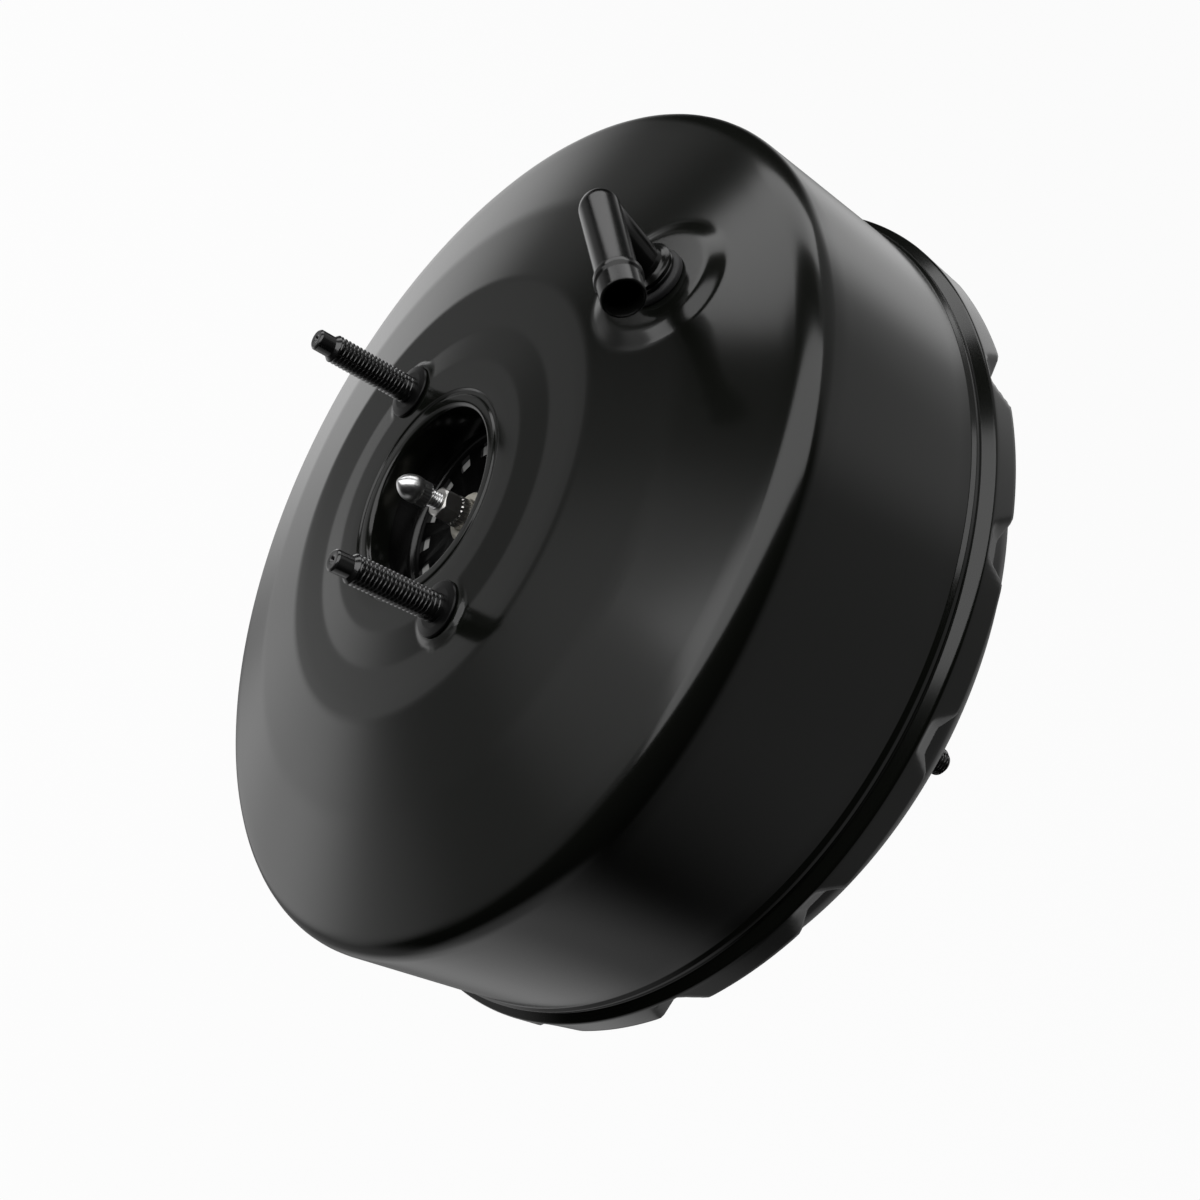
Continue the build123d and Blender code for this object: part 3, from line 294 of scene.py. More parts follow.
def filled(node, values):
    """A node with some of its inputs set."""
    for name, value in values.items():
        node.inputs[name].default_value = value
    return node


def maths(tree, operation, *values):
    """Output of a Math node on sockets or numbers."""
    node = tree.nodes.new("ShaderNodeMath")
    node.operation = operation
    for socket, value in zip(node.inputs, values):
        if isinstance(value, (int, float)):
            socket.default_value = value
        else:
            tree.links.new(value, socket)
    return node.outputs[0]


def mapped(tree, value, low, high, curve="LINEAR"):
    """A value as 0 at low and 1 at high."""
    node = tree.nodes.new("ShaderNodeMapRange")
    node.interpolation_type = curve
    filled(node, {"From Min": low, "From Max": high})
    tree.links.new(value, node.inputs["Value"])
    return node.outputs[0]


def noise(tree, scale, detail):
    """Noise in the object's own coordinates."""
    place, node = tree.nodes.new("ShaderNodeTexCoord"), tree.nodes.new("ShaderNodeTexNoise")
    node.inputs["Detail"].default_value = detail
    tree.links.new(place.outputs["Object"], node.inputs["Vector"])
    tree.links.new(scale, node.inputs["Scale"])
    return node.outputs["Fac"]


def shared(tree, group, values=()):
    """A node that uses a shared group, with some of its inputs set."""
    node = tree.nodes.new("ShaderNodeGroup")
    node.node_tree = bpy.data.node_groups[group]
    return filled(node, dict(values))


# ---- repeats
def copy_tree(name, inputs):
    """A geometry tree that will repeat a tool, with its own inputs beside the usual ones."""
    ends = {"Geometry": "Geometry"}
    usual = {"Tool": "Object", "Material": "Material"}
    return new_tree(name, "GeometryNodeTree", {**ends, **usual, **inputs}, ends)


def place_copies(tree, source, out, points, rotation=None):
    """Puts the tool on the points, makes the copies real and gives them their material."""
    add, link = tree.nodes.new, tree.links.new
    info, copies = add("GeometryNodeObjectInfo"), add("GeometryNodeInstanceOnPoints")
    real, paint = add("GeometryNodeRealizeInstances"), add("GeometryNodeSetMaterial")
    link(source["Tool"], info.inputs["Object"])
    link(points, copies.inputs["Points"])
    link(info.outputs["Geometry"], copies.inputs["Instance"])
    if rotation:
        link(rotation, copies.inputs["Rotation"])
    link(copies.outputs[0], real.inputs[0])
    link(real.outputs[0], paint.inputs["Geometry"])
    link(source["Material"], paint.inputs["Material"])
    link(paint.outputs[0], out[0])
    return tree


def ring_tree():
    """Copies of a tool, turned round the Y axis."""
    tree, source, out = copy_tree("Ring of Copies", {"Count": 16, "First Turn": 0.0})
    add, link = tree.nodes.new, tree.links.new
    points, index = add("GeometryNodePoints"), add("GeometryNodeInputIndex")
    angles, rotation = add("ShaderNodeCombineXYZ"), add("FunctionNodeEulerToRotation")
    share = maths(tree, "DIVIDE", index.outputs[0], source["Count"])
    first = maths(tree, "MULTIPLY", source["First Turn"], -1.0)
    link(source["Count"], points.inputs["Count"])
    link(maths(tree, "MULTIPLY_ADD", share, -2 * pi, first), angles.inputs["Y"])
    link(angles.outputs[0], rotation.inputs[0])
    return place_copies(tree, source, out, points.outputs[0], rotation.outputs[0])


def corner_tree():
    """Copies of a tool at the corners of a rectangle in the XZ plane."""
    tree, source, out = copy_tree("Corner Copies", {"Spacing X": 0.08, "Spacing Z": 0.07, "Rows": 2})
    link = tree.links.new
    grid, tip = tree.nodes.new("GeometryNodeMeshGrid"), tree.nodes.new("GeometryNodeTransform")
    grid.inputs["Vertices X"].default_value = 2
    tip.inputs["Rotation"].default_value = (pi / 2, 0, 0)
    link(source["Spacing X"], grid.inputs["Size X"])
    link(source["Spacing Z"], grid.inputs["Size Y"])
    link(source["Rows"], grid.inputs["Vertices Y"])
    link(grid.outputs["Mesh"], tip.inputs["Geometry"])
    return place_copies(tree, source, out, tip.outputs[0])


def copies_of(tool, tree, name, material, values):
    """Runs a tree on a tool and keeps the result as a plain mesh object."""
    carrier = placed(name + "_source", bpy.data.meshes.new(name + "_source"))
    modifier = carrier.modifiers.new("Copies", "NODES")
    modifier.node_group = tree
    values = {"Tool": tool, "Material": material, **values}
    for item in tree.interface.items_tree:
        if item.item_type == "SOCKET" and item.in_out == "INPUT" and item.name in values:
            modifier[item.identifier] = values[item.name]
    mesh = applied(carrier)
    if not len(mesh.polygons):
        raise RuntimeError(f"{name}: the copies are empty")
    mesh.name = name
    for spent in (carrier, tool):
        bpy.data.objects.remove(spent)
    mesh.shade_smooth()
    mesh.set_sharp_from_angle(angle=radians(35))
    return placed(name, mesh)


# ---- finishes
def grain_group():
    """Shared surface grain: a height for bump and a roughness that varies a little."""
    group, source, out = new_tree("Surface Grain", "ShaderNodeTree", {
        "Scale": 900.0, "Patch Scale": 14.0, "Roughness": 0.3, "Variation": 0.05,
    }, {"Height": "Float", "Roughness": "Float"})
    centred = maths(group, "SUBTRACT", noise(group, source["Patch Scale"], 4.0), 0.5)
    rough = maths(group, "MULTIPLY_ADD", centred, source["Variation"], source["Roughness"])
    group.links.new(noise(group, source["Scale"], 3.0), out["Height"])
    group.links.new(rough, out["Roughness"])


def wear_group():
    """Shared tint: a colour with a paler film in patches and fine specks."""
    group, source, out = new_tree("Film and Specks", "ShaderNodeTree", {
        "Colour": "Color", "Film Colour": "Color",
        "Patch Scale": 9.0, "Speck Scale": 420.0, "Amount": 0.15,
    }, {"Colour": "Color"})
    link = group.links.new
    film = mapped(group, noise(group, source["Patch Scale"], 5.0), 0.42, 0.75)
    specks = mapped(group, noise(group, source["Speck Scale"], 1.0), 0.70, 0.78)
    part = maths(group, "MULTIPLY", maths(group, "MAXIMUM", film, specks), source["Amount"])
    mix = group.nodes.new("ShaderNodeMix")
    mix.data_type = "RGBA"
    link(part, mix.inputs["Factor"])
    link(source["Colour"], mix.inputs["A"])
    link(source["Film Colour"], mix.inputs["B"])
    link(mix.outputs["Result"], out["Colour"])


def finish_material(name, base, film, rough, vary, grain, patch, bump, film_amount, bump_size=0.00005,
                    specks=420.0, metallic=0.0, coat=0.0, sheen=0.0, gloss=0.5):
    """A Principled material whose colour, roughness and bump come from the shared groups."""
    finish = bpy.data.materials.new(name)
    finish.use_nodes = True
    tree = finish.node_tree
    link = tree.links.new
    shader = filled(tree.nodes["Principled BSDF"], {
        "Metallic": metallic, "Specular IOR Level": gloss, "Sheen Weight": sheen,
        "Coat Weight": coat, "Coat Roughness": 0.12 if coat else 0.03,
    })
    tint = shared(tree, "Film and Specks", {
        "Colour": base, "Film Colour": film, "Patch Scale": patch, "Speck Scale": specks,
        "Amount": film_amount,
    })
    surface = shared(tree, "Surface Grain", {
        "Scale": grain, "Patch Scale": patch, "Roughness": rough, "Variation": vary,
    })
    relief = filled(tree.nodes.new("ShaderNodeBump"), {"Strength": bump, "Distance": bump_size})
    link(tint.outputs["Colour"], shader.inputs["Base Color"])
    link(surface.outputs["Roughness"], shader.inputs["Roughness"])
    link(surface.outputs["Height"], relief.inputs["Height"])
    link(relief.outputs["Normal"], shader.inputs["Normal"])


def material(name):
    """A finish by name; stops if the finishes weren't made first."""
    return bpy.data.materials[name]


# colour and film colour (each a property's name, a grey, or red, green and blue), roughness and
# how much it varies, scales of the grain and of the patches, bump, amount of film, the rest
FINISHES = {
    "Black Coat": ("paint", (0.012, 0.0125, 0.011), 0.155, 0.03, 1500.0, 11.0, 0.06, 0.25,
                   {"bump_size": 0.00003, "specks": 700.0}),
    "Stud Phosphate": ("phosphate", 0.10, 0.24, 0.08, 2600.0, 160.0, 0.12, 0.06, {"coat": 0.8}),
    "Washer Black": (0.004, 0.01, 0.30, 0.06, 2600.0, 90.0, 0.10, 0.1, {"gloss": 0.22}),
    "Boot Rubber": ("rubber", 0.05, 0.55, 0.06, 2200.0, 40.0, 0.25, 0.3, {"sheen": 0.15}),
    "Valve Nylon": ("plastic", 0.02, 0.17, 0.06, 3200.0, 70.0, 0.05, 0.2, {}),
    "Turned Steel": ("steel", (0.35, 0.34, 0.33), 0.33, 0.10, 2600.0, 220.0, 0.10, 0.3, {"metallic": 1.0}),
    "Polished Tip": (0.80, 0.5, 0.30, 0.06, 2600.0, 200.0, 0.06, 0.2, {"metallic": 1.0}),
    "Zinc Plate": ((0.52, 0.52, 0.51), (0.34, 0.34, 0.33), 0.32, 0.15, 1500.0, 60.0, 0.10, 0.4,
                   {"metallic": 1.0}),
    "Guide Coat": (0.0035, 0.008, 0.22, 0.06, 2000.0, 60.0, 0.06, 0.25, {}),
    "Satin Zinc": ((0.55, 0.55, 0.54), (0.36, 0.36, 0.35), 0.62, 0.08, 1500.0, 60.0, 0.12, 0.3,
                   {"metallic": 0.35}),
    "Natural Nylon": ((0.52, 0.50, 0.44), (0.40, 0.38, 0.33), 0.45, 0.06, 2400.0, 60.0, 0.12, 0.4, {}),
    "Dark Moulding": ((0.035, 0.034, 0.033), (0.07, 0.068, 0.065), 0.5, 0.06, 1800.0, 50.0, 0.2, 0.4, {}),
    "Filter Foam": ((0.06, 0.06, 0.058), 0.02, 0.9, 0.06, 900.0, 500.0, 0.8, 0.7, {"bump_size": 0.0004}),
}
CAD_FINISHES = {
    "Zinc Plate": "front_plate rear_plate poppet_retainer diaphragm_plate",
    "Satin Zinc": "rod_guide_ring",
    "Turned Steel": "valve_plunger stop_key return_spring poppet_spring rod_spring output_rod_retainer",
    "Boot Rubber": "diaphragm reaction_disc poppet_valve neck_seal check_valve_disc",
    "Natural Nylon": "neck_bush",
    "Dark Moulding": "power_piston",
    "Filter Foam": "air_filter",
}


# ---- operators
class BOOSTER_OT_finishes(bpy.types.Operator):
    """Make the finishes and give them to the CAD pieces that stay"""

    bl_idname = "booster.finishes"
    bl_label = "Finishes"

    def execute(self, context):
        tone = context.scene.booster_finish

        def rgba(value):
            if isinstance(value, str):
                return getattr(tone, value)[:]
            return (*value, 1) if isinstance(value, tuple) else (value, value, value, 1)

        grain_group()
        wear_group()
        for name, (base, film, *measures, rest) in FINISHES.items():
            finish_material(name, rgba(base), rgba(film), *measures, **rest)
        for finish, nodes in CAD_FINISHES.items():
            for node in nodes.split():
                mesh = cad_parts[node].data
                mesh.materials.clear()
                mesh.materials.append(material(finish))
        return {"FINISHED"}


class BOOSTER_OT_front_shell(bpy.types.Operator):
    """Build the front shell with its seat, valve boss and locked rim"""

    bl_idname = "booster.front_shell"
    bl_label = "Front Shell"

    def execute(self, context):
        scene = context.scene
        s, v, stud = scene.booster_shell, scene.booster_valve, scene.booster_stud
        mm = 1 / MM
        depth, sheet, rise = s.depth * mm, s.sheet * mm, s.seat_rise * mm
        pilot, wall, skirt = s.pilot_radius * mm, s.wall_radius * mm, s.skirt_radius * mm
        start, end = s.dent_start * mm, s.skirt_end * mm
        cut, floor = s.dent_depth * mm, s.dent_floor * mm
        groove, seat_edge, pad_edge = 0.5, 40.0, 50.0
        cone_start, cone_end, cone_drop, shoulder = 64.5, 90.0, 5.4, 15.6
        bead, bead_start, bead_end = 1.1, 72.0, 75.4
        outer = [
            (pilot, 6.0, 0), (pilot, -rise, 1.6), (pilot + 3.4, -rise, 0.5),
            (pilot + 3.9, groove - rise, 0.3), (pilot + 4.9, groove - rise, 0.3),
            (pilot + 5.4, -rise, 0.5), (seat_edge, -rise, 12.0), (pad_edge, 0.0, 12.0),
            (cone_start, 0.0, 14.0), (cone_end, cone_drop, 60.0), (wall, shoulder, 8.0),
            (wall + 0.3, bead_start, 0.6), (wall + bead, bead_start + 1.2, 0.5),
            (wall + bead, bead_end - 1.0, 0.5), (wall + 0.6, bead_end, 0.5), (skirt, start, 1.4),
            (skirt, end - 0.3, 0), (skirt - 0.3, end, 0),
        ]
        inner = [
            (skirt - sheet, end, 0), (skirt - sheet, start, 1.0), (wall - sheet, bead_end - sheet, 1.0),
            (wall - sheet, shoulder + 1.4, 6.0), (cone_end - 0.4, cone_drop + sheet, 20.0),
            (cone_start - 0.2, sheet, 8.0), (pilot + 3.0, sheet, 0), (pilot + sheet, 3.0, 0),
            (pilot + sheet, 6.0, 0),
        ]
        fine = []
        line = dense(rounded(outer, 0.16), 5.0)
        for a, b in zip(line, line[1:]):
            near_boss = 62 < a[0] < 108 and a[1] < 12
            near_lock = a[1] > start - 1
            near_pad = 33 < a[0] < 54 and a[1] < 3
            step = 0.7 if near_boss else 1.0 if near_lock else 1.2 if near_pad else 9.0
            fine += dense([a, b], step)[:-1]
        fine.append(line[-1])
        outside = set(fine)
        back = dense(rounded(inner, 0.5), 6.0)
        normal = Vector((0, -cos(v.tilt), sin(v.tilt)))
        seat = Vector((0, v.drop * mm - depth, v.place * mm))
        boss, top, lift = v.boss_radius * mm, v.boss_top * mm, v.boss_rise * mm
        pads = [Vector((sx * stud.front_spacing * mm / 2, 0, 0)) for sx in (-1, 1)]
        pad_radius, pad_slope = 10.4, 2.0
        lock_bend, lock_slope, lock_pitch = 0.5, tan(radians(50)), 2 * pi / s.dents

        def turn(r, h, angle):
            return Vector((r * cos(angle), h - depth, r * sin(angle)))

        def pressed(r, h, angle):
            """Presses the locks, the valve's boss and the stud pads into the turned form."""
            if h > start:
                share = (h - start) / (end - start)
                off = (angle - s.dent_phase + lock_pitch / 2) % lock_pitch - lock_pitch / 2
                sink = cut * share - max(abs(off) * skirt - floor / 2, 0) / lock_slope
                if sink <= lock_bend:
                    sink = lock_bend * exp((max(sink, -9) - lock_bend) / lock_bend)
                return turn(r - sink * ease(share * 3), h, angle)
            point = turn(r, h, angle)
            if h > 12 or r > 112:
                return point
            gap = point - seat
            up = gap.dot(normal)
            reach = (gap - normal * up).length
            if reach < boss + 1.0:
                level = lift if (r, h) in outside else lift - sheet
                point += normal * (level - up) * ramp((boss - reach) / (boss - top))
            for pad in pads:
                reach = hypot(point.x - pad.x, point.z)
                if reach < pad_radius and (r, h) in outside:
                    point.y += (-rise - depth - point.y) * ease((pad_radius - reach) / pad_slope)
            return point

        piece = turned("front_shell_pressing", fine + back, material("Black Coat"), 640,
                       shape=pressed, sharp=50)
        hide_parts("front_shell")
        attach(piece, "housing")
        return {"FINISHED"}


class BOOSTER_OT_rear_shell(bpy.types.Operator):
    """Build the rear shell with its neck"""

    bl_idname = "booster.rear_shell"
    bl_label = "Rear Shell"

    def execute(self, context):
        s = context.scene.booster_shell
        sheet = s.sheet / MM
        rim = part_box("rear_shell")[1][0] / MM
        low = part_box("rear_shell")[0][1] / MM
        cup, flat, neck, mouth = 118.0, 74.0, 30.0, 25.0
        slope, neck_end = -18.0, 28.0
        outline = [
            (rim, low, 0), (rim, low + sheet, 0.5), (cup, low + sheet, 2.0), (cup, slope, 8.0),
            (flat, 0.0, 9.0), (56.0, 0.0, 0), (neck, 0.0, 1.2), (neck, neck_end - 4.0, 0),
            (neck, neck_end, 1.8), (mouth, neck_end, 0.5), (mouth, neck_end - sheet, 0),
            (neck - sheet, neck_end - sheet, 0.6), (neck - sheet, -sheet, 0.8),
            (flat - 0.4, -sheet, 8.0), (cup - sheet, slope - 1.0, 6.4), (cup - sheet, low, 0),
        ]
        line = dense(rounded(outline, 0.18), 6.0)
        piece = turned("rear_shell_pressing", line, material("Black Coat"), 288, sharp=50)
        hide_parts("rear_shell")
        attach(piece, "housing")
        return {"FINISHED"}


def thread_cut(h, angle, pitch, depth):
    """How deep a 60 degree thread is cut at a height and an angle."""
    flank = abs((h / pitch - angle / (2 * pi)) % 1.0 - 0.5) * 2
    return depth * min(max((0.86 - flank) / 0.72, 0.0), 1.0)


def thread_shape(major, pitch, start, end):
    """The cut of a thread between two heights, fading out over half a turn at both ends."""
    def cut(r, h, angle):
        if not start <= h <= end or r < major * 0.9:
            return r
        fade = ease(min((h - start) / (pitch * 0.6), (end - h) / (pitch * 0.6)))
        return r - thread_cut(h, angle, pitch, 0.61 * pitch) * fade

    return cut


def stud_mesh(name, radius, pitch, point_r, point_l, tip, thread, foot, fine, segments):
    """A stud along +Y from its foot to its tip, both in mm, with two rolled grooves under its thread."""
    shoulder = tip - point_l - 1.0
    outline = rounded([
        (0, tip - 0.9, 0), (0.35, tip - 0.9, 0), (1.1, tip - 0.05, 0.3), (point_r - 0.5, tip, 0.3),
        (point_r, tip - 0.5, 0.3), (point_r, tip - point_l, 0.3), (radius - 0.15, shoulder + 0.1, 0.2),
        (radius, shoulder - 0.1, 0),
    ], 0.5)
    start = shoulder - thread
    h = shoulder - 0.1
    while h > start:
        outline.append((radius, h))
        h -= pitch / fine
    outline += rounded([
        (radius, start, 0), (radius, foot + 3.4, 0), (radius - 0.25, foot + 3.15, 0.1),
        (radius, foot + 2.9, 0.1), (radius, foot + 2.0, 0), (radius - 0.25, foot + 1.75, 0.1),
        (radius, foot + 1.5, 0.1), (radius, foot - 1.5, 0), (0, foot - 1.5, 0),
    ], 0.6)

    return turned(name, outline, None, segments, cut=thread_shape(radius, pitch, start, shoulder), sharp=50)


class BOOSTER_OT_studs(bpy.types.Operator):
    """Build the threaded studs of both sides and the front washers"""

    bl_idname = "booster.studs"
    bl_label = "Studs and Washers"

    def execute(self, context):
        stud, shell = context.scene.booster_stud, context.scene.booster_shell
        coat = material("Stud Phosphate")
        tree = corner_tree()
        size = (stud.radius / MM, stud.pitch / MM, stud.point_radius / MM, stud.point_length / MM)
        tool = stud_mesh("front_stud_tool", *size, stud.front_reach / MM, 22.4, 2.0, 10, 120)
        flip = Matrix.Translation((0, -shell.depth, 0)) @ Matrix.Rotation(pi, 4, "X")
        tool.data.transform(flip)
        pair = {"Spacing X": stud.front_spacing, "Spacing Z": 0.0, "Rows": 1}
        four = {"Spacing X": stud.rear_spacing_x, "Spacing Z": stud.rear_spacing_z, "Rows": 2}
        front = copies_of(tool, tree, "front_studs_threaded", coat, pair)
        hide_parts("master_cylinder_studs")
        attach(front, "housing")
        tool = stud_mesh("rear_stud_tool", *size, stud.rear_reach / MM, 17.0, 0.0, 8, 40)
        rear = copies_of(tool, tree, "firewall_studs_threaded", coat, four)
        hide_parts("firewall_studs")
        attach(rear, "housing")
        low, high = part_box("stud_washers")
        thick, hole, rim = (high[1] - low[1]) / MM, 4.1, 8.0
        outline = rounded([
            (hole, 0, 0), (rim - 0.4, 0, 0.3), (rim, thick * 0.4, 0.3), (rim - 0.3, thick * 0.75, 0.3),
            (5.6, thick, 0.4), (hole, thick, 0),
        ], 0.4)
        place = Matrix.Translation((0, high[1], 0)) @ Matrix.Rotation(pi, 4, "X")
        tool = turned("washer_tool", outline, None, 72, place)
        washers = copies_of(tool, tree, "stud_washers_formed", material("Washer Black"), pair)
        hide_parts("stud_washers")
        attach(washers, "housing")
        return {"FINISHED"}


class BOOSTER_OT_rod_guide(bpy.types.Operator):
    """Build the cage and bush that guide the output rod"""

    bl_idname = "booster.rod_guide"
    bl_label = "Rod Guide"

    def execute(self, context):
        depth = context.scene.booster_shell.depth / MM
        wall, sheet, floor, face, flange = 27.9, 1.2, 16.0, 4.6, 35.0
        inner_ring, plate_ring = 25.0, 26.0
        outline = rounded([
            (flange, face, 0), (wall, face, 1.0), (wall, floor, 2.5), (plate_ring, floor, 0),
            (inner_ring, floor, 0),
        ], 0.25)
        back = [(inner_ring, floor + sheet), (plate_ring, floor + sheet), (wall + sheet, floor + sheet),
                (wall + sheet, face + sheet), (flange, face + sheet)]
        place = Matrix.Translation((0, -depth * MM, 0))
        cup = turned("guide_cup", outline + back, None, 160, place)
        verts = []
        count, half_window, window_radius = 16, 2.2, 22.8
        edges = (-1, -0.5, 0, 0.5, 1)
        for r, lift in ((7.3, 1.6), (9.0, 0.8), (20.6, 0.0), (inner_ring + 0.05, 0.0)):
            for i in range(count):
                base = 2 * pi * i / count
                for edge in edges:
                    angle = base + edge * half_window / window_radius
                    verts.append((r * cos(angle) * MM, (floor - lift - depth) * MM, r * sin(angle) * MM))
        row = count * len(edges)
        rings = [range(a * row, (a + 1) * row) for a in range(4)]
        webs = [face for face in strips(rings[2:]) if face[0] % len(edges) == len(edges) - 1]
        plate = new_object("guide_floor", verts, strips(rings[:3]) + webs)
        solid = plate.modifiers.new("Sheet", "SOLIDIFY")
        solid.thickness = sheet * MM
        solid.offset = 0.0
        plate.data = applied(plate)
        plate.data.transform(Matrix.Translation((0, sheet * MM / 2, 0)))
        guide = joined("rod_guide_cage", [cup, plate], material("Guide Coat"))
        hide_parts("rod_guide")
        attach(guide, "housing")
        bush_face, bore, rim = 12.8, 4.5, 7.2
        outline = rounded([
            (bore, bush_face + 0.6, 0), (4.9, bush_face, 0.2), (6.2, bush_face, 0.3),
            (rim, bush_face + 0.8, 0.4), (rim, floor + sheet, 0), (bore, floor + sheet, 0),
        ], 0.4)
        bush = turned("rod_bush_turned", outline, material("Natural Nylon"), 96, place)
        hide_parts("rod_guide_bush")
        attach(bush, "housing")
        return {"FINISHED"}


class BOOSTER_OT_output_rod(bpy.types.Operator):
    """Build the output rod with its hexagon and splines, and its polished tip"""

    bl_idname = "booster.output_rod"
    bl_label = "Output Rod"

    def execute(self, context):
        depth = context.scene.booster_shell.depth / MM
        place = Matrix.Translation((0, -depth * MM, 0))
        steel = material("Turned Steel")
        front, back, bore = 3.4, 8.8, 2.5
        half_flats, corner, face = 4.0, 4.7, 3.75
        groove, shank, shank_start, flange, rod_end = 3.95, 4.35, 20.0, 12.3, 83.0

        def hexagon(r, h, angle):
            if r > 3:
                side = (angle + pi / 6) % (pi / 3) - pi / 6
                chamfer = max(face + min(h - front, back - h) * 1.6, 3.4)
                r = min(r, half_flats / cos(side), chamfer)
            return r

        line = [(bore, front), (3.2, front), (face, front)]
        line += [(corner, front + 0.02 + 0.08 * k) for k in range(8)]
        line += [(corner, back - 0.7 + 0.08 * k) for k in range(9)]
        line += [(3.2, back), (bore, back)]
        head = turned("rod_hexagon", line, None, 96, place, hexagon, sharp=28)
        body = turned("rod_body", rounded([
            (bore, back, 0), (3.9, back, 0), (groove, back + 0.4, 0), (groove, shank_start, 0.2),
            (shank, shank_start + 0.3, 0.1), (shank, rod_end - 4.0, 0), (flange, rod_end - 4.0, 0.3),
            (flange, rod_end, 0.3), (bore, rod_end, 0),
        ], 0.4), None, 96, place)
        verts = []
        foot, low, high, half_foot, half_top = 3.85, 3.9, 4.35, 0.42, 0.22
        for y, top in ((back + 0.1, low), (back + 0.5, high), (shank_start - 0.4, high), (shank_start, low)):
            for x, z in ((foot, -half_foot), (top, -half_top), (top, half_top), (foot, half_foot)):
                verts.append((x * MM, (y - depth) * MM, z * MM))
        faces = strips([range(a, a + 4) for a in (0, 4, 8, 12)]) + [(3, 2, 1, 0), (12, 13, 14, 15)]
        ridge = new_object("spline_tool", verts, faces)
        ridges = copies_of(ridge, ring_tree(), "rod_splines", steel, {"Count": 20, "First Turn": 0.1})
        rod = joined("output_rod_machined", [head, body, ridges], steel)
        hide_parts("output_rod")
        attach(rod, "power_piston")
        tip_r, apex, dome_long = 3.8, -10.2, 5.4
        band_r, flutes, flute_depth = 3.62, 24, 0.07
        neck, neck_pitch, neck_long, thread_end = 2.45, 0.8, 3.8, 15.8
        arc = (tip_r**2 + dome_long**2) / (2 * tip_r)
        sweep = [dome_long * k / 24 for k in range(25)]
        dome = [(tip_r - arc + sqrt(arc**2 - (dome_long - d) ** 2), apex + d) for d in sweep]
        dome[0] = (0, apex)
        band = [(tip_r, -3.9), (band_r, -3.6)] + [(band_r, -3.6 + 0.15 * k) for k in range(1, 20)]
        line = dome + band + rounded([(band_r, -0.7, 0), (3.3, -0.3, 0.2), (neck, -0.2, 0)], 0.4)
        h = 0.0
        while h < neck_long:
            line.append((neck, h))
            h += neck_pitch / 8
        line += [(neck, thread_end), (0, thread_end)]

        def fine_thread(r, h, angle):
            if -0.1 < h < neck_long + 0.1 and r < 2.6:
                r -= thread_cut(h, angle, neck_pitch, 0.42)
            elif -3.55 < h < -0.75 and r > 3.5:
                r -= flute_depth * (1 + cos(flutes * angle))
            return r

        tip = turned("rod_tip_polished", line, material("Polished Tip"), 192, place, fine_thread, sharp=50)
        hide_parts("output_rod_tip")
        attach(tip, "rod_tip")
        return {"FINISHED"}


